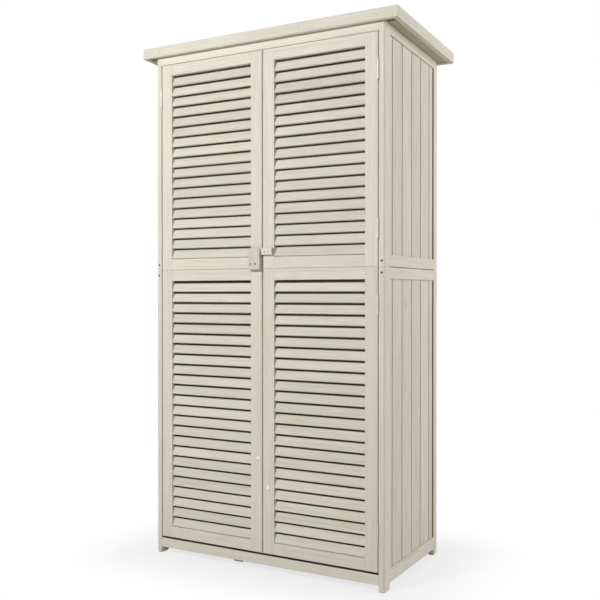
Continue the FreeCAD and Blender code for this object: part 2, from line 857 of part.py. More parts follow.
def make_door_rails(side, sign):
    """Top and bottom rail of both sections, between the stiles."""
    inner = cell("seam_gap") / 2 + cell("stile_width")
    height = cell("door_rail_height")
    rails = []
    for section in ("lower", "upper"):
        bottom, top = section_span(section)
        for word, level in (("bottom", bottom), ("top", top - height)):
            corner = (mirrored(sign, inner, inner + LOUVRE_SPAN), FRONT, level)
            extent = (LOUVRE_SPAN, cell("door_thickness"), height)
            rails.append(box(f"{side}_{section}_{word}_door_rail", corner, extent))
    return keep(group(f"{side}_door_rails", rails))


def screw(name, centre, direction, length):
    """A screw with a low round head. The direction points from the head along the shank."""
    head = doc.addObject("Part::Cylinder", f"{name}_head")
    shank = doc.addObject("Part::Cylinder", f"{name}_shank")
    bind(head, "Radius", cell("screw_head_radius"))
    bind(head, "Height", cell("screw_head_height"))
    bind(shank, "Radius", cell("screw_radius"))
    bind(shank, "Height", length)
    x, y, z = centre
    turn = Rotation(Vector(0, 0, 1), Vector(0, direction, 0))
    head.Placement.Rotation = turn
    shank.Placement.Rotation = turn
    place(head, (x, y - direction * cell("screw_head_height"), z))
    place(shank, (x, y, z))
    return fuse(name, [head, shank])


PLATE_LOW = JOINT - cell("plate_height") / 2
DOOR_BACK = FRONT + cell("door_thickness")


def plate_centres(sign):
    """Middle X of the two joining plates of a door, over its stiles."""
    seam_stile = cell("seam_gap") / 2 + cell("stile_width") / 2
    hinge_stile = seam_stile + DOOR_WIDTH - cell("stile_width")
    return (("meeting", sign * seam_stile), ("hinge", sign * hinge_stile))


def make_joining_plates(side, sign):
    """Steel plates behind the stiles that tie the two door sections together."""
    width = cell("plate_width")
    plates = [
        box(
            f"{side}_{word}_joining_plate",
            (x - width / 2, DOOR_BACK, PLATE_LOW),
            (width, cell("plate_thickness"), cell("plate_height")),
        )
        for word, x in plate_centres(sign)
    ]
    return keep(group(f"{side}_joining_plates", plates))


def make_door_screws(side, sign):
    """Screws of the joining plates and, on the left door, of the latch keeper."""
    back = DOOR_BACK + cell("plate_thickness")
    inset = cell("plate_screw_inset")
    height = cell("plate_height")
    screws = []
    for word, x in plate_centres(sign):
        for index, rise in enumerate((inset, inset * 2, height - inset * 2, height - inset)):
            name = f"{side}_{word}_plate_screw_{index + 1}"
            centre = (x, back, PLATE_LOW + rise)
            screws.append(screw(name, centre, -1, cell("door_screw_length")))
    if side == "left":
        near = cell("keeper_screw_seam_distance")
        z = JOINT - cell("keeper_below_joint") + cell("keeper_screw_height")
        head = cell("screw_head_height")
        seat = cell("keeper_thickness") + cell("keeper_screw_proud") - head
        front = FRONT - seat
        length = seat + cell("door_screw_length")
        for word, x in (("left", -(near + cell("keeper_screw_spacing"))), ("right", -near)):
            screws.append(screw(f"keeper_{word}_screw", (x, front, z), 1, length))
    return keep(group(f"{side}_door_screws", screws))


def make_frame_screws():
    """Screws through the posts into the middle rails, at the front and the back."""
    screws = []
    half_rail = cell("middle_rail_height") / 2
    centre_x = HALF_BODY - cell("post_width") / 2
    for side, sign in SIDES:
        for end, y, direction in (("front", FRONT, 1), ("back", BACK, -1)):
            for word, z in (("lower", JOINT - half_rail), ("upper", JOINT + half_rail)):
                centre = (sign * centre_x, y, z)
                name = f"{end}_{side}_{word}_frame_screw"
                screws.append(screw(name, centre, direction, cell("frame_screw_length")))
    return keep(group("frame_screws", screws))


# Hinges. The barrel stands just in front of the door's face, over the gap at the post.

HINGE_X = INNER_HALF - cell("hinge_gap") / 2
HINGE_Y = FRONT - cell("barrel_radius") - cell("barrel_proud")
KNUCKLE = cell("hinge_height") / 3


def hinge_levels():
    """Bottom of each hinge, lowest first."""
    half = cell("hinge_height") / 2
    distance = cell("hinge_end_distance")
    centres = []
    for section in ("lower", "upper"):
        bottom, top = section_span(section)
        centres += [bottom + distance, top - distance]
    return [centre - half for centre in centres]


def draw_leaf(sketch, toward):
    """Draw a leaf in plan: a flat plate that ends in a ring round the pin."""
    outer = cell("barrel_radius")
    far = cell("hinge_gap") / 2
    near = far - cell("hinge_leaf")
    end = outer + cell("barrel_proud") + cell("hinge_leaf_depth")

    def on_ring(distance):
        return math.sqrt(outer.value ** 2 - distance.value ** 2)

    far_start = Vector(toward * far.value, on_ring(far), 0)
    near_start = Vector(toward * near.value, on_ring(near), 0)
    far_end = Vector(toward * far.value, end.value, 0)
    near_end = Vector(toward * near.value, end.value, 0)
    sketch.addGeometry(Part.LineSegment(far_start, far_end), False)
    sketch.addGeometry(Part.LineSegment(far_end, near_end), False)
    sketch.addGeometry(Part.LineSegment(near_end, near_start), False)
    ring = Part.Circle(Vector(0, 0, 0), Vector(0, 0, 1), outer.value)
    far_angle = math.atan2(far_start.y, far_start.x)
    near_angle = math.atan2(near_start.y, near_start.x)
    first, last = (near_angle, far_angle) if toward > 0 else (far_angle, near_angle)
    last += 2 * math.pi
    sketch.addGeometry(Part.ArcOfCircle(ring, first, last), False)
    bore = Part.Circle(Vector(0, 0, 0), Vector(0, 0, 1), cell("pin_radius").value)
    sketch.addGeometry(bore, False)
    at_near, at_far = (1, 2) if toward > 0 else (2, 1)
    sketch.addConstraint(Sketcher.Constraint("Coincident", 0, 2, 1, 1))
    sketch.addConstraint(Sketcher.Constraint("Coincident", 1, 2, 2, 1))
    sketch.addConstraint(Sketcher.Constraint("Coincident", 3, at_far, 0, 1))
    sketch.addConstraint(Sketcher.Constraint("Coincident", 3, at_near, 2, 2))
    sketch.addConstraint(Sketcher.Constraint("Coincident", 3, 3, -1, 1))
    sketch.addConstraint(Sketcher.Constraint("Coincident", 4, 3, -1, 1))
    sketch.addConstraint(Sketcher.Constraint("Vertical", 0))
    sketch.addConstraint(Sketcher.Constraint("Horizontal", 1))
    sketch.addConstraint(Sketcher.Constraint("Vertical", 2))
    hold(sketch, "Radius", (3,), "ring_radius", outer)
    hold(sketch, "Radius", (4,), "bore_radius", cell("pin_radius") + cell("pin_play"))
    hold(sketch, "DistanceX", (-1, 1, 0, 2), "far_face", toward * far)
    hold(sketch, "DistanceX", (-1, 1, 2, 1), "near_face", toward * near)
    hold(sketch, "DistanceY", (-1, 1, 0, 2), "leaf_end", end)


def make_leaf(name, toward, openings, level, hinge_x):
    """One hinge leaf. Its ring is cut away where the other leaf's knuckles turn."""
    body = new_body(name)
    sketch = new_sketch(body, f"{name}_plan", "XY_Plane")
    draw_leaf(sketch, toward)
    pad(body, f"{name}_pad", sketch, cell("hinge_height"))
    reach = cell("barrel_radius") + cell("barrel_proud") + 0.3
    for index, (bottom, top) in enumerate(openings):
        gap = new_sketch(body, f"{name}_gap_{index + 1}", "YZ_Plane")
        draw_outline(gap, [(-reach, bottom), (reach, bottom), (reach, top), (-reach, top)])
        opening = body.newObject("PartDesign::Pocket", f"{name}_opening_{index + 1}")
        opening.Profile = gap
        opening.Midplane = True
        bind(opening, "Length", cell("barrel_radius") * 4)
        body.Tip = opening
    return place(body, (hinge_x, HINGE_Y, level))


def make_hinges(side, sign):
    """Four butt hinges at one door. The door's leaf has the middle knuckle."""
    play = cell("knuckle_play")
    height = cell("hinge_height")
    post_openings = [(KNUCKLE - play, KNUCKLE * 2 + play)]
    door_openings = [(Size(-1.0, "-1"), KNUCKLE), (KNUCKLE * 2, height + 1)]
    post_leaves = []
    door_leaves = []
    for index, level in enumerate(hinge_levels(), start=1):
        post_name = f"{side}_post_leaf_{index}"
        door_name = f"{side}_door_leaf_{index}"
        post_leaves.append(make_leaf(post_name, sign, post_openings, level, sign * HINGE_X))
        door_leaves.append(make_leaf(door_name, -sign, door_openings, level, sign * HINGE_X))
    keep(group(f"{side}_post_hinge_leaves", post_leaves))
    keep(group(f"{side}_door_hinge_leaves", door_leaves))


def make_hinge_pins():
    """A headed pin through each hinge."""
    pins = []
    for side, sign in SIDES:
        for index, level in enumerate(hinge_levels(), start=1):
            name = f"{side}_hinge_pin_{index}"
            shaft = doc.addObject("Part::Cylinder", f"{name}_shaft")
            head = doc.addObject("Part::Cylinder", f"{name}_head")
            bind(shaft, "Radius", cell("pin_radius"))
            bind(shaft, "Height", cell("hinge_height"))
            bind(head, "Radius", cell("pin_head_radius"))
            bind(head, "Height", cell("pin_head_height"))
            place(shaft, (sign * HINGE_X, HINGE_Y, level))
            place(head, (sign * HINGE_X, HINGE_Y, level + cell("hinge_height")))
            pins.append(fuse(name, [shaft, head]))
    return keep(group("hinge_pins", pins))


# Latch. A bar on the right door slides to the left, behind the lip of the keeper.

BAR_TOP = JOINT - cell("keeper_below_joint") + cell("keeper_height")
BAR_BOTTOM = BAR_TOP - cell("bar_height")
BAR_MIDDLE = BAR_TOP - cell("bar_height") / 2


def make_keeper():
    """The block on the left door. Its upper part stands clear of the door as a lip."""
    thickness = cell("keeper_thickness")
    height = cell("keeper_height")
    shoulder = height - cell("bar_height") - 1
    lip = cell("keeper_lip")
    outline = [(0, 0), (thickness, 0), (thickness, shoulder), (lip, shoulder), (lip, height), (0, height)]
    keeper = prism("latch_keeper", "YZ_Plane", outline, cell("keeper_width"))
    z = JOINT - cell("keeper_below_joint")
    x = -(cell("keeper_seam_distance") + cell("keeper_width"))
    return keep(place(keeper, (x, FRONT - thickness, z)))


def tee_outline(front, neck, stem, flange, base):
    """Half-symmetric T drawn in Y and Z about the bar's middle: stem at the door, flange in front."""
    return [
        (-neck, -stem / 2),
        (base, -stem / 2),
        (base, stem / 2),
        (-neck, stem / 2),
        (-neck, flange / 2),
        (-front, flange / 2),
        (-front, -flange / 2),
        (-neck, -flange / 2),
    ]


def make_slide_latch():
    """The T-shaped rail on the right door and the bar that runs on it."""
    neck = cell("slide_rail_neck")
    depth = cell("slide_rail_depth")
    stem = cell("slide_rail_stem")
    flange = cell("slide_rail_flange")
    play = cell("slide_play")
    length = cell("slide_rail_length")
    bar_start = cell("bar_seam_distance")
    bar_length = cell("bar_length")
    rail_outline = tee_outline(depth, neck, stem, flange, Size(0.0, "0"))
    rail = prism("latch_rail", "YZ_Plane", rail_outline, length)
    rail_start = bar_start + (bar_length - length) / 2
    keep(place(rail, (rail_start, FRONT, BAR_MIDDLE)))
    clearance = cell("bar_clearance")
    corner = (bar_start, FRONT - clearance - cell("bar_thickness"), BAR_BOTTOM)
    block = box("latch_bar_block", corner, (bar_length, cell("bar_thickness"), cell("bar_height")))
    slot_outline = tee_outline(depth + play, neck - play, stem + play * 2, flange + play * 2, clearance)
    slot = prism("latch_bar_slot", "YZ_Plane", slot_outline, bar_length + 2)
    place(slot, (bar_start - 1, FRONT, BAR_MIDDLE))
    keep(cut("latch_bar", block, slot))


def make_frame():
    for side, sign in SIDES:
        for section in ("lower", "upper"):
            make_post("front", side, sign, section)
            make_post("back", side, sign, section)
            make_side_boards(side, sign, section)
        make_side_rails(side, sign)
        make_cleats(side, sign)
    make_back_boards()
    make_back_rails()
    make_front_rails()
    make_floor()
    for word in ("lower", "middle", "upper"):
        make_shelf(word)


def make_door(side, sign):
    for section in ("lower", "upper"):
        make_stile(side, sign, section, "hinge")
        make_stile(side, sign, section, "meeting")
        make_louvres(side, sign, section)
    make_door_rails(side, sign)
    make_joining_plates(side, sign)
    make_door_screws(side, sign)
    make_hinges(side, sign)


def check_and_write():
    """Check every object, then write each sub-part to a file of its own."""
    doc.recompute()
    for item in doc.Objects:
        if "Invalid" in item.State or "Error" in item.State:
            raise ValueError(f"{item.Label} is {item.State}")
    for piece in nodes:
        if piece.Shape.isNull() or not piece.Shape.isValid():
            raise ValueError(f"{piece.Label} has no valid shape")
    os.makedirs("parts", exist_ok=True)
    for piece in nodes:
        piece.Shape.exportStep(f"parts/{piece.Label}.step")
        bounds = piece.Shape.BoundBox
        print(
            f"{piece.Label}: {len(piece.Shape.Solids)} solids,"
            f" x {bounds.XMin:.1f} to {bounds.XMax:.1f},"
            f" y {bounds.YMin:.1f} to {bounds.YMax:.1f},"
            f" z {bounds.ZMin:.1f} to {bounds.ZMax:.1f}"
        )
    print(len(nodes), "sub-parts")


make_frame()
make_roof()
for door_side, door_sign in SIDES:
    make_door(door_side, door_sign)
make_hinge_pins()
make_frame_screws()
make_keeper()
make_slide_latch()
check_and_write()
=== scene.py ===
# %% [markdown]
# # A louvred garden cabinet
#
# The cabinet stands about as tall as a person. It has a lower and an upper wooden section, two doors
# with rows of slanted louvres, and a shallow roof that leans back. All of it is pale washed softwood,
# apart from the hinges, the fasteners, two plastic caps and the roofing felt.
#
# The constructed solids come in first as a fixed frame. Everything that is added here is in metres, in
# the frame of those solids: X to the right, Y to the back and Z up.

# %% The frame
import json
import math
import random

import bmesh
import bpy
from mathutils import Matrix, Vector


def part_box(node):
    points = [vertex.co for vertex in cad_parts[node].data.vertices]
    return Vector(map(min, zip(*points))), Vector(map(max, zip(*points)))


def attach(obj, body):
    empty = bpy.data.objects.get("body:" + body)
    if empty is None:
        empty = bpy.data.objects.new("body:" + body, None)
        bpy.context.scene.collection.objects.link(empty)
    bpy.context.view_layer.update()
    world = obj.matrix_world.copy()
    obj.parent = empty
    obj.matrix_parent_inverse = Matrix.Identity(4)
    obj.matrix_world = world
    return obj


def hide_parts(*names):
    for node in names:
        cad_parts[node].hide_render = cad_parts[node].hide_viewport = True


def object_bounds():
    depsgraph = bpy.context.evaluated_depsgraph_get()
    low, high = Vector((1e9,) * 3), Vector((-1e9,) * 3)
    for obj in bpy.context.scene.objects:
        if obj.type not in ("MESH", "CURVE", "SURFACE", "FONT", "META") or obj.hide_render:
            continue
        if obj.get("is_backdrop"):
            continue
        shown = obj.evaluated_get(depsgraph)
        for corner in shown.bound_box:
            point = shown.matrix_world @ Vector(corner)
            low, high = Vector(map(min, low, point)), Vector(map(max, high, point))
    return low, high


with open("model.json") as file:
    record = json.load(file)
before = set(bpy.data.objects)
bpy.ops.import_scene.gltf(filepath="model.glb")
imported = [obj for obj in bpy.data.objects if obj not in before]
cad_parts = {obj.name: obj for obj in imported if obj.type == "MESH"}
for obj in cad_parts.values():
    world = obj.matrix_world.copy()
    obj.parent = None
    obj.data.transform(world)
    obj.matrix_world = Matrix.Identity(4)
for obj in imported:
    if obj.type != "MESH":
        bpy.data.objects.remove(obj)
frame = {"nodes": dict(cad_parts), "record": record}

solid_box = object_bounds()
record = frame["record"]
body_of_node = {
    node: body for body, nodes in record["behaviour"]["bodies"].items() for node in nodes
}
slot_of_node = {part["node"]: part["material_slot"] for part in record["subparts"]}

# %% [markdown]
# ## Writing materials as sums
#
# A material in Blender is a net of nodes. It is easier to read as arithmetic, so a small class wraps one
# socket: adding or multiplying two of them places the Math node that does it. Every other node comes
# from one method of the finish, which takes the node's type, its settings and what its sockets get.

# %% Sockets that add and multiply


class Field:
    """One output socket of a finish, with the arithmetic that the finishes use."""

    def __init__(self, finish, socket):
        self.finish = finish
        self.socket = socket

    def math(self, operation, first, second=0.0):
        settings = {"operation": operation}
        return self.finish.node("ShaderNodeMath", settings, {0: first, 1: second})

    def __add__(self, other):
        return self.math("ADD", self, other)

    def __radd__(self, other):
        return self.math("ADD", other, self)

    def __sub__(self, other):
        return self.math("SUBTRACT", self, other)

    def __rsub__(self, other):
        return self.math("SUBTRACT", other, self)

    def __mul__(self, other):
        return self.math("MULTIPLY", self, other)

    def __rmul__(self, other):
        return self.math("MULTIPLY", other, self)

    def __pow__(self, other):
        return self.math("POWER", self, other)

    def above(self, limit):
        return self.math("GREATER_THAN", self, limit)

    def sine(self):
        return self.math("SINE", self)


# %% A finish in the making


class Finish:
    """A material that is being built round one Principled shader."""

    def __init__(self, name, **constants):
        self.material = bpy.data.materials.new(name)
        self.material.use_nodes = True
        self.tree = self.material.node_tree
        self.shader = self.tree.nodes["Principled BSDF"]
        for socket, value in constants.items():
            self.shader.inputs[socket.replace("_", " ")].default_value = value

    def node(self, kind, settings=None, sockets=None, output=0):
        made = self.tree.nodes.new(kind)
        for name, value in (settings or {}).items():
            if name == "stops":
                self.set_stops(made.color_ramp, value)
            else:
                setattr(made, name, value)
        for name, value in (sockets or {}).items():
            if isinstance(value, Field):
                self.tree.links.new(value.socket, made.inputs[name])
            else:
                made.inputs[name].default_value = value
        return Field(self, made.outputs[output])

    def set_stops(self, ramp, stops):
        while len(ramp.elements) < len(stops):
            ramp.elements.new(1.0)
        for element, (position, colour) in zip(ramp.elements, stops):
            element.position = position
            element.color = colour

    def place(self):
        """The place on the piece, in metres."""
        return self.node("ShaderNodeTexCoord", output="Object")

    def attribute(self, name, output="Fac"):
        return self.node("ShaderNodeAttribute", {"attribute_name": name}, output=output)

    def split(self, vector):
        outputs = self.node("ShaderNodeSeparateXYZ", sockets={0: vector}).socket.node.outputs
        return [Field(self, outputs[index]) for index in range(3)]

    def join(self, x, y, z):
        return self.node("ShaderNodeCombineXYZ", sockets={0: x, 1: y, 2: z})

    def stretch(self, place, along, across):
        """A place on a board, scaled by one number along the grain and by another across it."""
        scaled = {0: place, 1: (along, across, across)}
        return self.node("ShaderNodeVectorMath", {"operation": "MULTIPLY"}, scaled)

    def noise(self, vector, scale=1.0, detail=2.0):
        sockets = {"Vector": vector, "Scale": scale, "Detail": detail, "Roughness": 0.5}
        return self.node("ShaderNodeTexNoise", sockets=sockets)

    def span(self, value, low, high, start=0.0, end=1.0):
        """Map low to high onto start to end, smoothly and without going past either."""
        sockets = {0: value, 1: low, 2: high, 3: start, 4: end}
        return self.node("ShaderNodeMapRange", {"interpolation_type": "SMOOTHSTEP"}, sockets)

    def blend(self, factor, first, second, mode="MIX"):
        settings = {"data_type": "RGBA", "blend_type": mode}
        return self.node("ShaderNodeMix", settings, {0: factor, 6: first, 7: second}, output=2)

    def feed(self, socket, value):
        self.tree.links.new(value.socket, self.shader.inputs[socket])

    def bump(self, height, distance, strength):
        sockets = {"Height": height, "Distance": distance, "Strength": strength}
        self.feed("Normal", self.node("ShaderNodeBump", sockets=sockets))


# %% Colours as they look on the screen

SCREEN_KNEE = 0.04045
SCREEN_SLOPE = 12.92
SCREEN_LIFT = 0.055
SCREEN_POWER = 2.4


def colour(red, green, blue):
    """A colour given as 0 to 255 on the screen, in the linear light that shaders use."""
    channels = []
    for value in (red, green, blue):
        part = value / 255
        if part <= SCREEN_KNEE:
            channels.append(part / SCREEN_SLOPE)
        else:
            channels.append(((part + SCREEN_LIFT) / (1 + SCREEN_LIFT)) ** SCREEN_POWER)
    return (*channels, 1.0)


WHITE = (1.0, 1.0, 1.0, 1.0)
print("half bright on the screen is", round(colour(128, 128, 128)[0], 3), "in linear light")

# %% [markdown]
# ## Washed softwood
#
# The boards are spruce or fir with a thin, greyish white wash. The wash hides most of the grain: what
# still shows is a faint pattern of growth rings, fine streaks along the board, a knot here and there
# that yellows through, and bare wood where an edge is worn.
#
# Grain has to follow each board, whichever way it lies. So every wooden piece gets two attributes:
# `lay` is the place on the board, with X along it and a random step that makes no two boards alike, and
# `tone` is one random number for each board. All but the louvres have `worn`, which is 1 on their eased
# edges. From about 0.8 on, one more attribute marks where shade is painted into the colour as dark brown:
# the top of a louvre behind the next one, the inside of a groove between boards, the corner of a back post
# and the rail under the doors. Rings are drawn as the distance from a wandering pith line, because a sawn
# board is a slice through them.

# %% Growth rings and knots

RING_WAVES = 1300.0
PITH_DEPTH = 0.03
KNOTS_ABOVE = 0.72


def growth_rings(wood, place):
    """Rings round a pith line that wanders and lies a little outside the board."""
    across, through = wood.split(place)[1:]
    wander = wood.noise(wood.stretch(place, 1.6, 6.0), detail=3.0) - 0.5
    pith_across = across + wander * 0.05
    pith_through = through + wander * 0.03 + PITH_DEPTH
    distance = (pith_across * pith_across + pith_through * pith_through) ** 0.5
    return wood.span((distance * RING_WAVES + wander * 9.0).sine(), -0.2, 1.0)


def knots(wood, place):
    """Masks of the knots and of the yellowed wood round them, in some cells of a pattern."""
    cell = {"Vector": wood.stretch(place, 5.0, 9.0), "Scale": 1.0}
    distance = wood.node("ShaderNodeTexVoronoi", sockets=cell, output="Distance")
    cell_colour = wood.node("ShaderNodeTexVoronoi", sockets=cell, output="Color")
    picked = wood.split(cell_colour)[0].above(KNOTS_ABOVE)
    knot = wood.span(distance, 0.03, 0.06, 1.0, 0.0) * picked
    halo = wood.span(distance, 0.04, 0.2, 1.0, 0.0) * picked
    return knot, halo


# %% Washed wood

GREY_WOOD = colour(164, 150, 123)
BARE_WOOD = colour(168, 148, 116)
RESIN_STAIN = colour(208, 190, 146)
KNOT_HALO = colour(203, 187, 150)
KNOT_BROWN = colour(146, 124, 92)
# Painted shade: a dark brown that stands in for the shade on the louvres' hidden tops, inside the grooves,
# on the back posts' proud strips and on the rail under the doors.
PAINTED_SHADE_BROWN = colour(56, 43, 27)
ROSY_CAST = colour(255, 250, 250)
GREENISH_CAST = colour(250, 255, 248)
PAINTED_SHADE_FROM = 0.8
PAINTED_SHADE_FULL = 0.88


def washed_wood(name, wash, show, uneven, bare=GREY_WOOD, stains=0.35, tint=0.5):
    """A washed softwood. Show is how much of the bare wood's grain comes through the wash."""
    wood = Finish(name)
    place = wood.attribute("lay", "Vector")
    tone = wood.attribute("tone")
    rings = growth_rings(wood, place)
    knot, halo = knots(wood, place)
    streaks = wood.noise(wood.stretch(place, 7.0, 420.0), detail=4.0)
    bands = wood.noise(wood.stretch(place, 2.2, 110.0), detail=3.0)
    pores = wood.noise(wood.stretch(place, 60.0, 1500.0))
    patches = wood.noise(wood.stretch(place, 3.0, 16.0))
    strokes = wood.noise(wood.stretch(place, 11.0, 60.0), detail=3.0)
    clouds = wood.noise(wood.stretch(place, 9.0, 30.0))
    stain = wood.span(wood.noise(wood.stretch(place, 5.0, 26.0)), 0.66, 0.8)

    grain = (rings * 0.35 + wood.span(streaks, 0.45, 0.75) * 0.6) * (patches * 0.9 + 0.3)
    grain = grain + wood.span(bands, 0.5, 0.78) * 0.55
    base = wood.blend(grain * show, wash, bare)
    base = wood.blend(stain * stains, base, RESIN_STAIN)
    base = wood.blend(halo * 0.2, base, KNOT_HALO)
    base = wood.blend(knot * 0.5, base, KNOT_BROWN)
    worn = wood.attribute("worn") * wood.span(streaks, 0.35, 0.7)
    base = wood.blend(worn * 0.3, base, bare)

    shade = 1.0 - uneven + tone * (uneven * 2.0) + (patches - 0.5) * 0.1 + (strokes - 0.5) * 0.12
    base = wood.blend(1.0, base, wood.join(shade, shade, shade), "MULTIPLY")
    turn = wood.node("ShaderNodeTexWhiteNoise", {"noise_dimensions": "1D"}, {"W": tone * 37.0})
    hue = wood.span(clouds + (turn - 0.5) * 0.14, 0.3, 0.7)
    cast = wood.blend(hue, ROSY_CAST, GREENISH_CAST)
    base = wood.blend(tint, base, wood.blend(1.0, base, cast, "MULTIPLY"))
    # Painted shade: from 0.8 to 0.88 of the marking attribute the colour turns to dark brown.
    dark = wood.span(wood.attribute("sheltered"), PAINTED_SHADE_FROM, PAINTED_SHADE_FULL)
    base = wood.blend(dark * 0.97, base, PAINTED_SHADE_BROWN)

    wood.feed("Base Color", base)
    wood.feed("Roughness", 0.62 + streaks * 0.2 + knot * -0.1)
    wood.bump(rings * 0.25 + streaks * 0.5 + pores * 0.35 - knot * 0.3, 0.0005, 0.5)
    return wood.material


# %% The woods of this cabinet

WOODS = {
    "frame_wood": {"wash": colour(229, 223, 210), "show": 0.32, "uneven": 0.03},
    "door_wood": {"wash": colour(228, 222, 209), "show": 0.32, "uneven": 0.03},
    "louvre_wood": {"wash": colour(221, 217, 205), "show": 0.4, "uneven": 0.05, "stains": 0.5, "tint": 0.8},
    "board_wood": {"wash": colour(224, 216, 205), "show": 0.42, "uneven": 0.05, "stains": 0.3, "tint": 0.8},
    "roof_wood": {"wash": colour(227, 222, 209), "show": 0.34, "uneven": 0.03},
    "inside_wood": {"wash": colour(208, 198, 178), "show": 0.5, "uneven": 0.08, "bare": BARE_WOOD},
    "eaves_wood": {"wash": colour(198, 190, 170), "show": 0.7, "uneven": 0.08},
    "latch_wood": {"wash": colour(210, 209, 196), "show": 0.25, "uneven": 0.02, "stains": 0.1},
}
finishes = {name: washed_wood(name, **look) for name, look in WOODS.items()}
print("washed woods:", ", ".join(finishes))

# %% [markdown]
# ## Zinc-plated steel, nails and white plastic
#
# The hinges and joining plates are zinc-plated: a metal whose plating shows faint clouds. The screws and
# nails have darkened, and the two caps are white plastic. None of them is quite even, so they share a
# way to mix two colours in clouds, and each adds what is its own.

# %% Steel, nails and plastic


def clouded(name, scale, first, second, **constants):
    """A finish with clouds between two colours, and the clouds themselves."""
    finish = Finish(name, **constants)
    clouds = finish.noise(finish.place(), scale, 3.0)
    finish.feed("Base Color", finish.blend(clouds, first, second))
    return finish, clouds


def zinc_steel():
    steel, clouds = clouded("zinc_steel", 90.0, colour(184, 183, 175), colour(214, 213, 206), Metallic=0.6)
    scratches = steel.noise(steel.place(), 900.0)
    steel.feed("Roughness", 0.32 + clouds * 0.2 + scratches * 0.1)
    steel.bump(scratches, 0.00005, 0.4)
    return steel.material


def dark_screw():
    screw, stains = clouded("dark_screw", 600.0, colour(88, 84, 74), colour(118, 112, 100), Metallic=0.7)
    screw.feed("Roughness", 0.45 + stains * 0.2)
    return screw.material


def dull_nail():
    rust = colour(150, 140, 124), colour(116, 92, 66)
    return clouded("dull_nail", 700.0, *rust, Metallic=0.6, Roughness=0.6)[0].material


def white_plastic():
    dust = colour(253, 253, 251), colour(246, 246, 242)
    return clouded("white_plastic", 160.0, *dust, Roughness=0.38)[0].material


for make in (zinc_steel, dark_screw, dull_nail, white_plastic):
    finishes[make.__name__] = make()
    print("made", make.__name__)

# %% [markdown]
# ## Mineral felt
#
# The roof is covered with mineral felt, where thousands of crushed slate grains lie in bitumen. Grains
# that small are a Voronoi pattern in colour and bump, because as meshes they would be millions of faces.

# %% Felt

FELT_GRAINS = 620.0
SLATE_STOPS = [
    (0.0, colour(44, 47, 46)),
    (0.5, colour(78, 83, 80)),
    (0.85, colour(112, 117, 112)),
    (1.0, colour(160, 163, 156)),
]


def mineral_felt():
    felt = Finish("roof_felt", Roughness=0.92)
    place = felt.place()
    grains = {"Vector": place, "Scale": FELT_GRAINS}
    grain_colour = felt.node("ShaderNodeTexVoronoi", sockets=grains, output="Color")
    grain_height = felt.node("ShaderNodeTexVoronoi", sockets=grains)
    pick = felt.split(grain_colour)[0]
    slate = felt.node("ShaderNodeValToRGB", {"stops": SLATE_STOPS}, {0: pick})
    clouds = felt.noise(place, 9.0, 4.0)
    felt.feed("Base Color", felt.blend(clouds * 0.5, slate, colour(70, 76, 74)))
    felt.bump(1.0 - grain_height * 1.4, 0.0006, 0.8)
    return felt.material


finishes["roof_felt"] = mineral_felt()
print("felt with", len(SLATE_STOPS), "greys of slate")

# %% [markdown]
# ## Eased edges
#
# A sawn and sanded board has no knife-sharp corner. Each edge is rounded by about a millimetre, and it
# is this line that catches the light and makes wood look solid. A node's own mesh must stay as it is,
# so a merged copy is made, its flat faces are joined again from their triangles, and its sharp edges
# are bevelled. The bevelled faces are marked as worn. Boards of one node may touch, so the corners are
# joined within each solid alone: each board then has its own place in the grain and its own tone.

# %% The solids of a node


def placed(name, data):
    """A new object for a mesh, a lamp or a camera, linked to the scene."""
    made = bpy.data.objects.new(name, data)
    bpy.context.collection.objects.link(made)
    return made


def box_round(vertices):
    """The low and the high corner of the box round some vertices."""
    low = Vector(min(vertex.co[axis] for vertex in vertices) for axis in range(3))
    high = Vector(max(vertex.co[axis] for vertex in vertices) for axis in range(3))
    return low, high


def islands(mesh):
    """Lists of the vertices of each separate solid in a mesh."""
    mesh.verts.index_update()
    seen = set()
    for start in mesh.verts:
        if start.index in seen:
            continue
        seen.add(start.index)
        reached = [start]
        for vertex in reached:
            for edge in vertex.link_edges:
                other = edge.other_vert(vertex)
                if other.index not in seen:
                    seen.add(other.index)
                    reached.append(other)
        yield reached


def closed_runs(mesh):
    """Runs of a mesh's faces that close round one solid: each edge is met once in each direction."""
    unmatched, run = set(), []
    for polygon in mesh.polygons:
        corners = [tuple(round(c, 6) for c in mesh.vertices[index].co) for index in polygon.vertices]
        for start, end in zip(corners, corners[1:] + corners[:1]):
            if (end, start) in unmatched:
                unmatched.remove((end, start))
            elif start != end:
                unmatched.add((start, end))
        run.append(corners)
        if not unmatched:
            yield run
            run = []


def merged(node):
    """A copy of a node's mesh in which the faces of each solid share their corners."""
    mesh = bmesh.new()
    for run in closed_runs(frame["nodes"][node].data):
        made = {}
        for corners in run:
            if len(set(corners)) < len(corners):
                continue
            for place in corners:
                if place not in made:
                    made[place] = mesh.verts.new(place)
            mesh.faces.new([made[place] for place in corners])
    mesh.normal_update()
    return mesh


print("the roof has", sum(1 for run in closed_runs(frame["nodes"]["roof_boards"].data)), "boards")

# %% A place in the grain for each board

GRAIN_STEP_LOW = (0.0, -0.03, -0.02)
GRAIN_STEP_HIGH = (9.0, 0.03, 0.02)
rng = random.Random(42)


def mark_grain(mesh):
    """Give each board its place in the grain, along its longest side, and its tone."""
    lay = mesh.verts.layers.float_vector.new("lay")
    tone = mesh.verts.layers.float.new("tone")
    for board in islands(mesh):
        low, high = box_round(board)
        extent = high - low
        order = sorted(range(3), key=lambda axis: -extent[axis])
        step = Vector(rng.uniform(least, most) for least, most in zip(GRAIN_STEP_LOW, GRAIN_STEP_HIGH))
        board_tone = rng.random()
        for vertex in board:
            centred = vertex.co - low - extent / 2
            vertex[lay] = Vector(centred[axis] for axis in order) + step
            vertex[tone] = board_tone
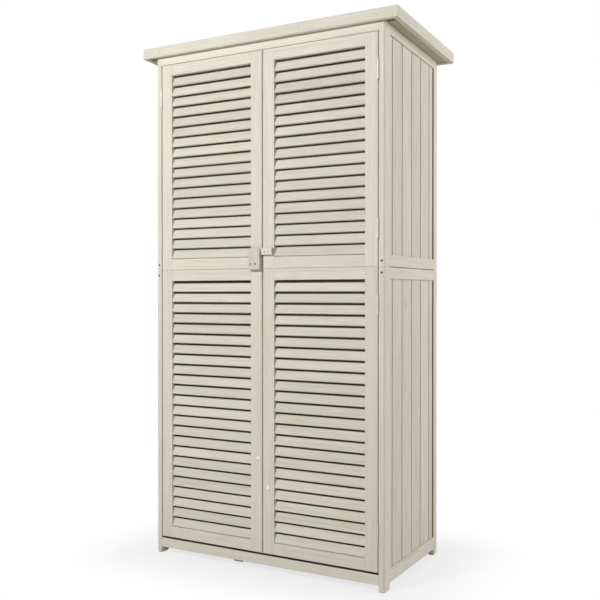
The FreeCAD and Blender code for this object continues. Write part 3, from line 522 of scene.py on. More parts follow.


# %% [markdown]
# ## Painted shade between the boards
#
# Shade is painted into the colour where little light reaches: deep in each groove, the corner where a wall
# board meets the back post, and the rail behind the doors' lower edge. A pattern alone can't tell where
# these places are, so the vertices in them are marked by how deep they lie under the face.

# %% Places with painted shade

BODY_HALF_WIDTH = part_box("front_right_lower_post")[1][0]
WALL_FACE = {
    "left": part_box("left_lower_side_boards")[0][0],
    "right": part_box("right_lower_side_boards")[1][0],
}
GROOVE_TOP = 0.0015
GROOVE_BOTTOM = 0.0065
GROOVE_PAINTED_SHADE = 2.2
POST_CORNER_TOP = 0.004
POST_CORNER_PAINTED_SHADE = 1.6
FACE_BAND = 0.0003
RAIL_TOP_BAND = 0.0015
RAIL_PAINTED_SHADE_START = 0.77
RAIL_PAINTED_SHADE_RISE = 100.0


def shelter(node, place, low, high):
    """How much painted shade a place on a node gets, in the numbers that the washed woods read."""
    # Painted shade on the rail's top, growing towards its back, under the doors' lower edge.
    if node == "front_bottom_rail" and place.z > high.z - RAIL_TOP_BAND:
        return RAIL_PAINTED_SHADE_START + (place.y - low.y) * RAIL_PAINTED_SHADE_RISE
    # Painted shade inside the grooves between wall boards.
    if slot_of_node[node] == "board_wood":
        wall = node.partition("_")[0]
        depth = high.y - place.y if wall == "back" else abs(WALL_FACE[wall] - place.x)
        return GROOVE_PAINTED_SHADE if GROOVE_TOP < depth < GROOVE_BOTTOM else 0.0
    # Painted shade on the strip of a back post's front face that stands proud of the wall boards.
    if node.startswith("back_") and node.endswith("_post") and place.y < low.y + FACE_BAND:
        depth = BODY_HALF_WIDTH - abs(place.x)
        return POST_CORNER_PAINTED_SHADE if POST_CORNER_TOP < depth < GROOVE_BOTTOM else 0.0
    return 0.0


def mark_sheltered(mesh, node):
    """Give each vertex of a node's copy its number for the painted shade."""
    low, high = (Vector(corner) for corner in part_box(node))
    sheltered = mesh.verts.layers.float.new("sheltered")
    for vertex in mesh.verts:
        vertex[sheltered] = shelter(node, vertex.co, low, high)


print("grooves in", [node for node, slot in slot_of_node.items() if slot == "board_wood"])

# %% Dressed copies

SHARP_ANGLE = math.radians(32)
FLAT_ANGLE = 0.005
EASE_STEPS = 2
EASE_ROUNDNESS = 0.6
FLAT_FACE_WEIGHT = 80
UNDERSIDES = {"roof_boards": "eaves_wood", "roof_battens": "eaves_wood"}


def ease_edges(mesh, width):
    """Bevel the sharp edges and mark the new faces as worn."""
    worn = mesh.faces.layers.float.new("worn")
    sharp = [
        edge
        for edge in mesh.edges
        if len(edge.link_faces) == 2 and edge.calc_face_angle(0.0) > SHARP_ANGLE
    ]
    made = bmesh.ops.bevel(
        mesh,
        geom=sharp,
        offset=width,
        segments=EASE_STEPS,
        profile=EASE_ROUNDNESS,
        affect="EDGES",
        clamp_overlap=True,
    )
    for face in made["faces"]:
        face[worn] = 1.0


def finish_piece(piece, body, slot, *nodes):
    """Let a piece ride on its body and hide the nodes that it stands for. The slot is not used."""
    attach(piece, body)
    if nodes:
        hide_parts(*nodes)


def dress(node, width):
    """Let a copy with eased edges stand for a node."""
    mesh = merged(node)
    bmesh.ops.dissolve_limit(mesh, angle_limit=FLAT_ANGLE, verts=mesh.verts, edges=mesh.edges)
    ease_edges(mesh, width)
    mark_grain(mesh)
    mark_sheltered(mesh, node)
    for face in mesh.faces:
        face.smooth = True
    eased = bpy.data.meshes.new(f"{node}_eased")
    mesh.to_mesh(eased)
    mesh.free()
    piece = placed(f"{node}_eased", eased)
    normals = piece.modifiers.new("even_normals", "WEIGHTED_NORMAL")
    normals.mode = "FACE_AREA"
    normals.weight = FLAT_FACE_WEIGHT
    slot = slot_of_node[node]
    eased.materials.append(finishes[UNDERSIDES.get(node, slot)])
    finish_piece(piece, body_of_node[node], slot, node)


# %% Every node that keeps its solid's shape

WOOD_EASE = 0.001
EASES = {"zinc_steel": 0.00015, "latch_wood": 0.0012, "board_wood": 0.0004, "inside_wood": 0.0007}
LOUVRES = [node for node in body_of_node if node.endswith("_louvres")]
SCREWS = [node for node in body_of_node if node.endswith("_screws")]
made_below = {*LOUVRES, *SCREWS, "roof_felt"}
for node, slot in slot_of_node.items():
    if node not in made_below:
        dress(node, EASES.get(slot, WOOD_EASE))
print("eased", len(slot_of_node) - len(made_below), "nodes")

# %% [markdown]
# ## Louvres
#
# Each door section holds a row of equal slats that lean back by about a quarter of a right angle, one
# above the other at a steady pitch. That is a rule, so Geometry Nodes build it: one slat is drawn as a
# rounded section and swept from stile to stile, then it is placed on a line of points. The tree's
# inputs are the sizes, so the same tree makes the long lower rows and the shorter upper ones.
#
# A real slat is not quite like its neighbour. Before the copies are made real, each one is given a
# tone and a step in the grain from its own random number, with a fixed seed, and turned by a hair.

# %% Geometry Nodes trees


def evaluated_mesh(piece):
    """A plain mesh of a piece as its modifiers leave it."""
    graph = bpy.context.evaluated_depsgraph_get()
    return bpy.data.meshes.new_from_object(piece.evaluated_get(graph), depsgraph=graph)


class NodeTree:
    """A Geometry Nodes group under construction, with named inputs."""

    def __init__(self, name, inputs):
        self.group = bpy.data.node_groups.new(name, "GeometryNodeTree")
        self.sockets = {}
        for label, (kind, value) in inputs.items():
            socket = self.group.interface.new_socket(label, in_out="INPUT", socket_type=kind)
            if value is not None:
                socket.default_value = value
            self.sockets[label] = socket.identifier
        self.group.interface.new_socket("Mesh", in_out="OUTPUT", socket_type="NodeSocketGeometry")
        self.given = self.group.nodes.new("NodeGroupInput")
        self.result = self.group.nodes.new("NodeGroupOutput")

    def add(self, kind, settings=None, sockets=None, output=0):
        """Add a node, set it up, and hand back one of its outputs."""
        made = self.group.nodes.new(kind)
        for name, value in (settings or {}).items():
            setattr(made, name, value)
        for name, value in (sockets or {}).items():
            if isinstance(value, bpy.types.NodeSocket):
                self.group.links.new(value, made.inputs[name])
            else:
                made.inputs[name].default_value = value
        return made.outputs[output]

    def take(self, label):
        return self.given.outputs[label]

    def math(self, operation, first, second=0.0):
        return self.add("ShaderNodeMath", {"operation": operation}, {0: first, 1: second})

    def vector(self, x=0.0, y=0.0, z=0.0):
        return self.add("ShaderNodeCombineXYZ", sockets={0: x, 1: y, 2: z})

    def part(self, vector, axis):
        return self.add("ShaderNodeSeparateXYZ", sockets={0: vector}, output=axis)

    def stored(self, name, kind="FLOAT"):
        return self.add("GeometryNodeInputNamedAttribute", {"data_type": kind}, {"Name": name})

    def store(self, geometry, name, kind, domain, value):
        settings = {"data_type": kind, "domain": domain}
        sockets = {"Geometry": geometry, "Name": name, "Value": value}
        return self.add("GeometryNodeStoreNamedAttribute", settings, sockets)

    def together(self, *parts):
        both = self.group.nodes.new("GeometryNodeJoinGeometry")
        for part in parts:
            self.group.links.new(part, both.inputs[0])
        return both.outputs[0]

    def close(self, geometry):
        """Make the copies real, give them their material and end the tree."""
        real = self.add("GeometryNodeRealizeInstances", sockets={0: geometry})
        coat = {"Geometry": real, "Material": self.take("Material")}
        finished = self.add("GeometryNodeSetMaterial", sockets=coat)
        self.group.links.new(finished, self.result.inputs[0])

    def make(self, name, values, start=None):
        """Evaluate the tree with these values and hand back a plain mesh object."""
        maker = placed(f"{name}_maker", start or bpy.data.meshes.new(f"{name}_start"))
        modifier = maker.modifiers.new("tree", "NODES")
        modifier.node_group = self.group
        for label, value in values.items():
            modifier[self.sockets[label]] = value
        plain = evaluated_mesh(maker)
        bpy.data.objects.remove(maker)
        return placed(name, plain)


# %% One slat

SLAT_WIDTH = 0.0315
SLAT_THICKNESS = 0.006
SLAT_ROUND = 0.0015
UPPER_ROUND = 0.0005
ROUND_POINTS = 4
LEAN = math.radians(23)


def slat_section(tree):
    """The section of a slat, rounded more at its lower edge than at its upper one."""
    outline = {"Width": tree.take("Thickness"), "Height": tree.take("Width")}
    section = tree.add("GeometryNodeCurvePrimitiveQuadrilateral", sockets=outline)
    height = tree.part(tree.add("GeometryNodeInputPosition"), 1)
    lower = tree.math("LESS_THAN", height, 0.0)
    more = tree.math("SUBTRACT", tree.take("Round"), UPPER_ROUND)
    radius = tree.math("ADD", tree.math("MULTIPLY", more, lower), UPPER_ROUND)
    rounding = {"Curve": section, "Count": ROUND_POINTS, "Radius": radius, "Limit Radius": True}
    return tree.add("GeometryNodeFilletCurve", {"mode": "POLY"}, rounding)


def swept_slat(tree):
    """A slat from stile to stile, with its place in the grain and painted shade on its upper edge."""
    far_end = tree.vector(x=tree.take("Span"))
    rail = tree.add("GeometryNodeCurvePrimitiveLine", sockets={"Start": (0.0, 0.0, 0.0), "End": far_end})
    sweep = {"Curve": rail, "Profile Curve": slat_section(tree), "Fill Caps": True}
    slat = tree.add("GeometryNodeCurveToMesh", sockets=sweep)
    position = tree.add("GeometryNodeInputPosition")
    slat = tree.store(slat, "lay", "FLOAT_VECTOR", "POINT", position)
    # Painted shade: the slat's upper part, behind the slat above, is marked for dark brown.
    level = tree.math("DIVIDE", tree.part(position, 2), tree.take("Width"))
    sheltered = tree.math("ADD", level, tree.take("Painted Shade Offset"))
    return tree.store(slat, "sheltered", "FLOAT", "POINT", sheltered)


# %% The louvre tree

LEAN_PLAY = 0.006
TONE_SEED_STEP = 11
GRAIN_SEED_STEP = 23

louvre_tree = NodeTree(
    "louvre_row",
    {
        "Count": ("NodeSocketInt", 24),
        "Pitch": ("NodeSocketFloat", 0.032),
        "Span": ("NodeSocketFloat", 0.302),
        "Width": ("NodeSocketFloat", SLAT_WIDTH),
        "Thickness": ("NodeSocketFloat", SLAT_THICKNESS),
        "Round": ("NodeSocketFloat", SLAT_ROUND),
        "Lean": ("NodeSocketFloat", -LEAN),
        "Painted Shade Offset": ("NodeSocketFloat", 0.5),
        "Seed": ("NodeSocketInt", 1),
        "Material": ("NodeSocketMaterial", None),
    },
)


def build_louvre_tree(tree):
    seed = tree.take("Seed")
    steps = {"Count": tree.take("Count"), "Offset": tree.vector(z=tree.take("Pitch"))}
    line = tree.add("GeometryNodeMeshLine", sockets=steps)
    play = {2: -LEAN_PLAY, 3: LEAN_PLAY, "Seed": seed}
    play = tree.add("FunctionNodeRandomValue", sockets=play, output=1)
    lean = tree.vector(x=tree.math("ADD", tree.take("Lean"), play))
    copies = {"Points": line, "Instance": swept_slat(tree), "Rotation": lean}
    row = tree.add("GeometryNodeInstanceOnPoints", sockets=copies)

    tone_seed = tree.math("ADD", seed, TONE_SEED_STEP)
    tone = tree.add("FunctionNodeRandomValue", sockets={"Seed": tone_seed}, output=1)
    row = tree.store(row, "tone", "FLOAT", "INSTANCE", tone)
    step = {0: GRAIN_STEP_LOW, 1: GRAIN_STEP_HIGH, "Seed": tree.math("ADD", seed, GRAIN_SEED_STEP)}
    step = tree.add("FunctionNodeRandomValue", {"data_type": "FLOAT_VECTOR"}, step)
    row = tree.store(row, "shift", "FLOAT_VECTOR", "INSTANCE", step)
    real = tree.add("GeometryNodeRealizeInstances", sockets={0: row})
    both = {0: tree.stored("lay", "FLOAT_VECTOR"), 1: tree.stored("shift", "FLOAT_VECTOR")}
    place = tree.add("ShaderNodeVectorMath", {"operation": "ADD"}, both)
    tree.close(tree.store(real, "lay", "FLOAT_VECTOR", "POINT", place))


build_louvre_tree(louvre_tree)
print("the louvre tree has", len(louvre_tree.group.nodes), "nodes")

# %% [markdown]
# The rows take their sizes from the solids: the node's box gives the span, the lowest edge and the
# highest edge, and from these and the number of slats follows the pitch. A row is made at the origin
# and then moved, so that its lowest edge lies where the solid's does.

# %% The four rows of louvres

slat_counts = {"lower": 24, "upper": 18}
# Offsets of the painted shade on the slats' tops: the lower rows get a wider dark band than the upper ones.
painted_shade_offsets = {"lower": 0.53, "upper": 0.465}


def leaning_half(rounding):
    """How far a leaning slat reaches above or below its middle, with its edge rounded."""
    half_width, half_thickness = SLAT_WIDTH / 2 - rounding, SLAT_THICKNESS / 2 - rounding
    return half_width * math.cos(LEAN) + half_thickness * math.sin(LEAN) + rounding


slat_height = leaning_half(SLAT_ROUND) + leaning_half(0.0)
for seed, node in enumerate(LOUVRES, start=1):
    low, high = (Vector(corner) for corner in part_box(node))
    section = "lower" if "_lower_" in node else "upper"
    count = slat_counts[section]
    pitch = (high.z - low.z - slat_height) / (count - 1)
    values = {
        "Count": count,
        "Pitch": pitch,
        "Span": high.x - low.x,
        "Width": SLAT_WIDTH,
        "Thickness": SLAT_THICKNESS,
        "Round": SLAT_ROUND,
        "Lean": -LEAN,
        "Painted Shade Offset": painted_shade_offsets[section],
        "Seed": seed,
        "Material": finishes["louvre_wood"],
    }
    row = louvre_tree.make(f"{node}_row", values)
    move = low - box_round(row.data.vertices)[0]
    for vertex in row.data.vertices:
        vertex.co += move
    top = box_round(row.data.vertices)[1].z
    finish_piece(row, body_of_node[node], "louvre_wood", node)
    print(node, count, "slats, pitch", round(pitch, 5), "top off by", round(high.z - top, 5))

# %% [markdown]
# ## Screws, nails and caps
#
# Small fasteners are copies of a few turned shapes. Each head is turned from a profile, as on a lathe;
# the screws also get a cross recess, cut with a Boolean modifier. One tree then sets a head and a shank
# on every point it is given. The points carry the way that the head faces and the fastener's length.
# For the screws both are measured on the solids, so they sit where the construction has them.

# %% Turned heads

HEAD_SIDES = 20
DOME_STEPS = 5


def turned(name, profile):
    """A closed shape turned round Z from pairs of radius and height, top to bottom."""
    points = [(0.0, 0.0, profile[0][1])]
    for radius, height in profile:
        for index in range(HEAD_SIDES):
            angle = math.tau * index / HEAD_SIDES
            points.append((radius * math.cos(angle), radius * math.sin(angle), height))
    points.append((0.0, 0.0, profile[-1][1]))
    last = len(points) - 1
    base = last - HEAD_SIDES
    faces = []
    for index in range(HEAD_SIDES):
        following = (index + 1) % HEAD_SIDES
        faces.append((0, 1 + index, 1 + following))
        for ring in range(len(profile) - 1):
            upper, lower = 1 + ring * HEAD_SIDES, 1 + (ring + 1) * HEAD_SIDES
            faces.append((upper + index, lower + index, lower + following, upper + following))
        faces.append((last, base + following, base + index))
    mesh = bpy.data.meshes.new(name)
    mesh.from_pydata(points, [], faces)
    mesh.update()
    return placed(name, mesh)


def dome(radius, height, rim):
    """Profile of a low dome that stands on a straight rim."""
    profile = []
    for index in range(1, DOME_STEPS + 1):
        angle = math.pi / 2 * index / DOME_STEPS
        profile.append((radius * math.sin(angle), (height - rim) * (math.cos(angle) - 1.0)))
    return profile + [(radius, -height)]


# %% The cross in a screw's head

CROSS_ARM_SHARE = 0.36


def cut_cross(head, width, depth):
    """Cut a cross recess into the top of a head."""
    half = width / 2
    cross = bmesh.new()
    for long_axis in range(2):
        reach = [half * CROSS_ARM_SHARE, half * CROSS_ARM_SHARE, depth]
        reach[long_axis] = half
        for vertex in bmesh.ops.create_cube(cross, size=1.0)["verts"]:
            vertex.co = Vector(vertex.co[axis] * 2 * reach[axis] for axis in range(3))
    mesh = bpy.data.meshes.new("cross")
    cross.to_mesh(mesh)
    cross.free()
    cutter = placed("cross", mesh)
    modifier = head.modifiers.new("recess", "BOOLEAN")
    modifier.operation = "DIFFERENCE"
    modifier.solver = "EXACT"
    modifier.use_self = True
    modifier.object = cutter
    plain = evaluated_mesh(head)
    head.modifiers.clear()
    head.data = plain
    bpy.data.objects.remove(cutter)


# %% The three heads

SCREW_HEAD = {"radius": 0.0035, "height": 0.0016, "rim": 0.0005}
NAIL_HEAD = {"radius": 0.0016, "height": 0.0005, "rim": 0.0001}
CAP_HEAD = {"radius": 0.0056, "height": 0.0026, "rim": 0.0012}
CROSS_WIDTH = 0.0036
CROSS_DEPTH = 0.0009

screw_head = turned("screw_head", dome(**SCREW_HEAD))
cut_cross(screw_head, CROSS_WIDTH, CROSS_DEPTH)
nail_head = turned("nail_head", dome(**NAIL_HEAD))
cap_head = turned("cap_head", dome(**CAP_HEAD))
print("a screw head has", len(screw_head.data.polygons), "faces")

# %% A tree that sets fasteners on points

SHANK_SIDES = 12
SHANK_SUNK = 0.0011
SHANK_SHORTER = 0.0012

fastener_tree = NodeTree(
    "fasteners",
    {
        "Points": ("NodeSocketGeometry", None),
        "Head": ("NodeSocketObject", None),
        "Shank Radius": ("NodeSocketFloat", 0.002),
        "Material": ("NodeSocketMaterial", None),
    },
)


def build_fastener_tree(tree):
    facing = tree.stored("facing", "FLOAT_VECTOR")
    turn = tree.add("FunctionNodeAlignRotationToVector", {"axis": "Z"}, {"Vector": facing})
    head = tree.add("GeometryNodeObjectInfo", sockets={"Object": tree.take("Head")}, output="Geometry")
    heads = {"Points": tree.take("Points"), "Instance": head, "Rotation": turn}
    heads = tree.add("GeometryNodeInstanceOnPoints", sockets=heads)

    rod = {"Vertices": SHANK_SIDES, "Radius": tree.take("Shank Radius"), "Depth": 1.0}
    rod = tree.add("GeometryNodeMeshCylinder", sockets=rod)
    hung = {"Geometry": rod, "Translation": (0.0, 0.0, -0.5)}
    rod = tree.add("GeometryNodeTransform", sockets=hung)
    reach = tree.math("SUBTRACT", tree.stored("length"), SHANK_SHORTER)
    sunk = {0: facing, "Scale": -SHANK_SUNK}
    sunk = tree.add("ShaderNodeVectorMath", {"operation": "SCALE"}, sunk)
    seats = tree.add("GeometryNodeSetPosition", sockets={0: tree.take("Points"), "Offset": sunk})
    stretch = tree.vector(1.0, 1.0, reach)
    shanks = {"Points": seats, "Instance": rod, "Rotation": turn, "Scale": stretch}
    shanks = tree.add("GeometryNodeInstanceOnPoints", sockets=shanks)
    tree.close(tree.together(heads, shanks))


build_fastener_tree(fastener_tree)
print("the fastener tree has", len(fastener_tree.group.nodes), "nodes")

# %% Fasteners from a list of spots


def points_mesh(name, spots):
    """A mesh of loose points that carry a facing and a length."""
    mesh = bpy.data.meshes.new(name)
    mesh.from_pydata([place for place, facing, length in spots], [], [])
    mesh.attributes.new("facing", "FLOAT_VECTOR", "POINT")
    mesh.attributes.new("length", "FLOAT", "POINT")
    for index, (place, facing, length) in enumerate(spots):
        mesh.attributes["facing"].data[index].vector = facing
        mesh.attributes["length"].data[index].value = length
    return mesh


def fasteners(name, spots, head, shank, finish):
    values = {"Head": head, "Shank Radius": shank, "Material": finishes[finish]}
    return fastener_tree.make(name, values, points_mesh(f"{name}_points", spots))


# %% Screws where the solids have them

SCREW_SHANK = 0.002


def screw_spots(node):
    """Top of the head, facing and length of every screw in a node."""
    mesh = merged(node)
    spots = []
    for solid in islands(mesh):
        low, high = box_round(solid)
        middle = (low + high) / 2
        widest = max(solid, key=lambda vertex: abs(vertex.co.x - middle.x))
        toward = -1.0 if widest.co.y < middle.y else 1.0
        top = Vector((middle.x, low.y if toward < 0 else high.y, middle.z))
        spots.append((top, Vector((0.0, toward, 0.0)), high.y - low.y))
    mesh.free()
    return spots


for node in SCREWS:
    spots = screw_spots(node)
    screws = fasteners(f"{node}_heads", spots, screw_head, SCREW_SHANK, "dark_screw")
    finish_piece(screws, body_of_node[node], "zinc_steel", node)
    print(node, len(spots), "screws")

# %% [markdown]
# The nails of the fascias and of the latch bar and the two white caps on the meeting stiles are looks
# alone: they carry nothing, so they are no nodes of the construction. Their places come from the faces
# they sit on.

# %% Nails in the fascias

ROOF_TILT = math.radians(2.1)
NAIL_DROP = 0.018
NAIL_LENGTH = 0.012
NAIL_SHANK = 0.0008
NAIL_PROUD = 0.0003
FRONT_NAILS = (-0.371, -0.121, 0.13, 0.376)
SIDE_NAILS = (0.064, 0.232, 0.402)
roof_low, roof_high = (Vector(corner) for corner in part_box("front_fascia"))
side_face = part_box("right_fascia")[1][0]


def front_nail(x):
    """A nail in the front fascia at a distance from the middle."""
    y = roof_low.y + (roof_high.z - roof_low.z - NAIL_DROP) * math.sin(ROOF_TILT)
    facing = Vector((0.0, -math.cos(ROOF_TILT), -math.sin(ROOF_TILT)))
    return (Vector((x, y, roof_high.z - NAIL_DROP)) + facing * NAIL_PROUD, facing, NAIL_LENGTH)


def back_nail(x):
    """A nail in the back fascia at a distance from the middle."""
    high = Vector(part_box("back_fascia")[1])
    facing = Vector((0.0, math.cos(ROOF_TILT), math.sin(ROOF_TILT)))
    place = Vector((x, high.y - NAIL_DROP * math.sin(ROOF_TILT), high.z - NAIL_DROP))
    return (place + facing * NAIL_PROUD, facing, NAIL_LENGTH)


def side_nail(sign, back):
    """A nail in a side fascia at a distance behind the roof's front."""
    y = roof_low.y + back
    z = roof_high.z - NAIL_DROP - back * math.tan(ROOF_TILT)
    return (Vector((sign * (side_face + NAIL_PROUD), y, z)), Vector((sign, 0.0, 0.0)), NAIL_LENGTH)


nail_spots = [front_nail(x) for x in FRONT_NAILS]
nail_spots += [back_nail(-x) for x in reversed(FRONT_NAILS)]
nail_spots += [side_nail(sign, back) for sign in (-1, 1) for back in SIDE_NAILS]
nails = fasteners("fascia_nails", nail_spots, nail_head, NAIL_SHANK, "dull_nail")
finish_piece(nails, "cabinet", "zinc_steel")
print(len(nail_spots), "nails in the fascias")

# %% Nails in the latch bar and caps on the stiles

FORWARD = Vector((0.0, -1.0, 0.0))
BAR_NAILS = (0.012, 0.024)
BAR_NAIL_HEIGHT = 0.38
BAR_NAIL_LENGTH = 0.005
CAPS = {"left_door": (-0.014, 0.334), "right_door": (0.020, 0.251)}
CAP_LENGTH = 0.008
CAP_SHANK = 0.0022

bar_low, bar_high = (Vector(corner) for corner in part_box("latch_bar"))
bar_height = bar_low.z + (bar_high.z - bar_low.z) * BAR_NAIL_HEIGHT
bar_spots = [
    (Vector((bar_low.x + reach, bar_low.y - NAIL_PROUD, bar_height)), FORWARD, BAR_NAIL_LENGTH)
    for reach in BAR_NAILS
]
bar_nails = fasteners("bar_nails", bar_spots, nail_head, NAIL_SHANK, "dark_screw")
finish_piece(bar_nails, body_of_node["latch_bar"], "zinc_steel")

door_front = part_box("left_lower_meeting_stile")[0][1]
for body, (x, z) in CAPS.items():
    spot = (Vector((x, door_front - CAP_HEAD["height"], z)), FORWARD, CAP_LENGTH)
    cap = fasteners(f"{body}_cap", [spot], cap_head, CAP_SHANK, "white_plastic")
    finish_piece(cap, body, "door_wood")
print(len(bar_spots), "nails in the bar and", len(CAPS), "caps")
for head in (screw_head, nail_head, cap_head):
    bpy.data.objects.remove(head)

# %% [markdown]
# ## Roofing felt
#
# The roof is closed with mineral felt in three strips that lap over each other from the back to the
# front, so that rain runs over the laps. The sheet of the construction is plain. Here a grid is laid
# over the roof's plane by Geometry Nodes: its height follows the laps, noise makes it slightly wavy,
# and it is given thickness by pushing its face down.

# %% The felt tree

GRID_X = 60
GRID_Y = 181
LAP_SHARE = 0.35
WAVE_SHARE = 0.3
SHEET_SHARE = 0.3
WAVE_SCALE = 7.0

felt_tree = NodeTree(
    "lapped_felt",
    {
        "Width": ("NodeSocketFloat", 0.838),
        "Length": ("NodeSocketFloat", 0.436),
        "Thickness": ("NodeSocketFloat", 0.002),
        "Strips": ("NodeSocketFloat", 3.0),
        "Middle": ("NodeSocketVector", (0.0, 0.0, 0.0)),
        "Tilt": ("NodeSocketVector", (0.0, 0.0, 0.0)),
        "Material": ("NodeSocketMaterial", None),
    },
)


def build_felt_tree(tree):
    """Laps, waves and the sheet's own body share the felt's thickness."""
    width, length, thickness = (tree.take(name) for name in ("Width", "Length", "Thickness"))
    grid = {"Size X": width, "Size Y": length, "Vertices X": GRID_X, "Vertices Y": GRID_Y}
    sheet = tree.add("GeometryNodeMeshGrid", sockets=grid)
    position = tree.add("GeometryNodeInputPosition")
    share = tree.math("ADD", tree.math("DIVIDE", tree.part(position, 1), length), 0.5)
    lap = tree.math("FRACT", tree.math("MULTIPLY", share, tree.take("Strips")))
    step = tree.math("MULTIPLY", lap, tree.math("MULTIPLY", thickness, -LAP_SHARE))
    waves = {"Vector": position, "Scale": WAVE_SCALE, "Detail": 2.0}
    waves = tree.add("ShaderNodeTexNoise", sockets=waves)
    wave = tree.math("MULTIPLY", waves, tree.math("MULTIPLY", thickness, -WAVE_SHARE))
    height = tree.vector(z=tree.math("ADD", step, wave))
    sheet = tree.add("GeometryNodeSetPosition", sockets={0: sheet, "Offset": height})
    down = tree.vector(z=tree.math("MULTIPLY", thickness, -SHEET_SHARE))
    push = {"Mesh": sheet, "Offset": down, "Individual": False}
    under = tree.add("GeometryNodeExtrudeMesh", sockets=push)
    sheet = tree.add("GeometryNodeFlipFaces", sockets={0: sheet})
    whole = tree.add("GeometryNodeFlipFaces", sockets={0: tree.together(under, sheet)})
    moved = {"Geometry": whole, "Translation": tree.take("Middle"), "Rotation": tree.take("Tilt")}
    tree.close(tree.add("GeometryNodeTransform", sockets=moved))


build_felt_tree(felt_tree)
print("the felt tree has", len(felt_tree.group.nodes), "nodes")

# %% The felt

FELT_THICKNESS = 0.002
FELT_STRIPS = 3.0
FELT_PLAY = 0.0004

felt_low, felt_high = (Vector(corner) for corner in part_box("roof_felt"))
felt_length = (felt_high.y - felt_low.y) / math.cos(ROOF_TILT)
felt_middle = (felt_low + felt_high) / 2
felt_middle.z = felt_high.z - felt_length / 2 * math.sin(ROOF_TILT)
values = {
    "Width": felt_high.x - felt_low.x,
    "Length": felt_length - FELT_PLAY,
    "Thickness": FELT_THICKNESS,
    "Strips": FELT_STRIPS,
    "Middle": felt_middle,
    "Tilt": Vector((-ROOF_TILT, 0.0, 0.0)),
    "Material": finishes["roof_felt"],
}
felt = felt_tree.make("lapped_felt", values)
finish_piece(felt, "cabinet", "roof_felt", "roof_felt")
print("the felt has", len(felt.data.polygons), "faces")

# %% [markdown]
# ## Camera, floor and light
#
# The camera stands about where the photograph was taken from: in front of the cabinet and well to the
# right of it, turned 29 degrees back towards it. The floor is plain and pale. To the camera it fades to
# white away from the cabinet, so that only the soft shadow round the feet is left of it; all light that
# falls on the cabinet comes from the world and four lamps. The key lamp is small and high in front of
# the doors, and draws the shadow under each louvre. Three larger and softer ones fill in from
# the right of the front, from the right side and from the back.

# %% The camera

PHOTO_WIDTH = 600
FOCAL_PIXELS = 844.8
SENSOR_WIDTH = 36.0
CAMERA_PLACE = (1.3082, -2.3478, 0.8220)
YAW = math.radians(29.0)
PITCH = math.radians(0.412)

lens = bpy.data.cameras.new("photo_camera")
lens.sensor_width = SENSOR_WIDTH
lens.lens = FOCAL_PIXELS / PHOTO_WIDTH * SENSOR_WIDTH
camera = placed("photo_camera", lens)
camera.location = CAMERA_PLACE
camera.rotation_euler = (math.pi / 2 - PITCH, 0.0, YAW)
bpy.context.scene.camera = camera
print("lens of", round(lens.lens, 1), "mm")

# %% The floor

FLOOR_REACH = 9
FLOOR_GREY = (0.65, 0.65, 0.65, 1.0)
FOOT_HALF_WIDTH = 0.39
FOOT_HALF_DEPTH = 0.21
FADE_REACH = 0.3
FADE_START = 0.75


def seen_directly(tree):
    """A socket that is 1 for the camera, glossy and clear rays, and 0 for light on the object."""
    path = tree.nodes.new("ShaderNodeLightPath")
    total = path.outputs["Is Camera Ray"]
    for name in ("Is Glossy Ray", "Is Transmission Ray"):
        either = tree.nodes.new("ShaderNodeMath")
        either.operation = "MAXIMUM"
        tree.links.new(total, either.inputs[0])
        tree.links.new(path.outputs[name], either.inputs[1])
        total = either.outputs[0]
    return total


def floor_material():
    floor = Finish("floor", Base_Color=FLOOR_GREY, Roughness=0.9)
    x, y = floor.split(floor.place())[:2]
    beside = x.math("MAXIMUM", x.math("ABSOLUTE", x) - FOOT_HALF_WIDTH)
    before = y.math("MAXIMUM", y.math("ABSOLUTE", y) - FOOT_HALF_DEPTH)
    away = (beside * beside + before * before) ** 0.5
    fade = FADE_START + floor.span(away, 0.0, FADE_REACH) * (1 - FADE_START)
    fade = fade * Field(floor, seen_directly(floor.tree))
    white = floor.node("ShaderNodeEmission", sockets={"Color": WHITE, "Strength": 1.0})
    mixed = floor.node("ShaderNodeMixShader", sockets={0: fade, 2: white})
    floor.tree.links.new(floor.shader.outputs[0], mixed.socket.node.inputs[1])
    floor.tree.links.new(mixed.socket, floor.tree.nodes["Material Output"].inputs[0])
    return floor.material


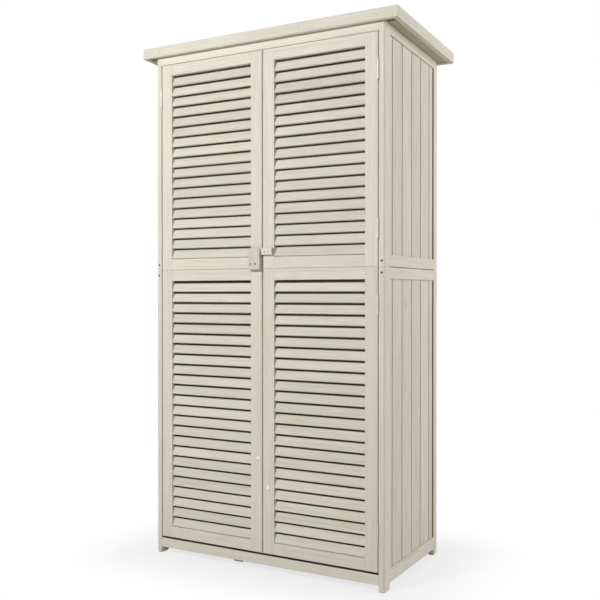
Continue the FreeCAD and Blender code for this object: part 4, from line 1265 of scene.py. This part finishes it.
floor_corners = [(x * FLOOR_REACH, y * FLOOR_REACH, 0) for x, y in ((-1, -1), (1, -1), (1, 1), (-1, 1))]
floor_mesh = bpy.data.meshes.new("floor")
floor_mesh.from_pydata(floor_corners, [], [(0, 1, 2, 3)])
floor_mesh.materials.append(floor_material())
floor = placed("floor", floor_mesh)
floor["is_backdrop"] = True
print("floor of", 2 * FLOOR_REACH, "metres")

# %% The world

WORLD_STRENGTH = 0.1

world = bpy.data.worlds.new("studio")
world.use_nodes = True
bpy.context.scene.world = world
sky = world.node_tree
dim = sky.nodes["Background"]
white = sky.nodes.new("ShaderNodeBackground")
for background, strength in ((dim, WORLD_STRENGTH), (white, 1.0)):
    background.inputs["Color"].default_value = WHITE
    background.inputs["Strength"].default_value = strength
mix = sky.nodes.new("ShaderNodeMixShader")
sky.links.new(seen_directly(sky), mix.inputs[0])
sky.links.new(dim.outputs[0], mix.inputs[1])
sky.links.new(white.outputs[0], mix.inputs[2])
sky.links.new(mix.outputs[0], sky.nodes["World Output"].inputs[0])
print("the world has", len(sky.nodes), "nodes")

# %% The lamps


def lamp(name, place, target, size, power):
    light = bpy.data.lights.new(name, "AREA")
    light.shape = "RECTANGLE"
    light.size, light.size_y = size
    light.energy = power
    lit = placed(name, light)
    lit.location = place
    lit.rotation_euler = (Vector(target) - Vector(place)).to_track_quat("-Z", "Y").to_euler()
    print(name, "lamp of", power, "watts")


lamp("key", (-0.9, -2.6, 2.15), (0, 0, 0.2), (0.25, 0.25), 55)
lamp("front_fill", (2.0, -2.6, 2.3), (0, 0, 0.6), (1.2, 0.6), 17)
lamp("side_fill", (3.0, 1.3, 1.75), (0, 0, 0.95), (1.2, 2.0), 55)
lamp("back_fill", (-2.4, 2.8, 2.2), (0, 0, 0.85), (2.2, 2.2), 43)

bpy.context.scene.view_settings.view_transform = "Standard"

# %% Sizes and the end

visual_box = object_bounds()
sizes = {
    "solid": [list(corner) for corner in solid_box],
    "visual": [list(corner) for corner in visual_box],
}
print("solid box", sizes["solid"], "visual box", sizes["visual"])
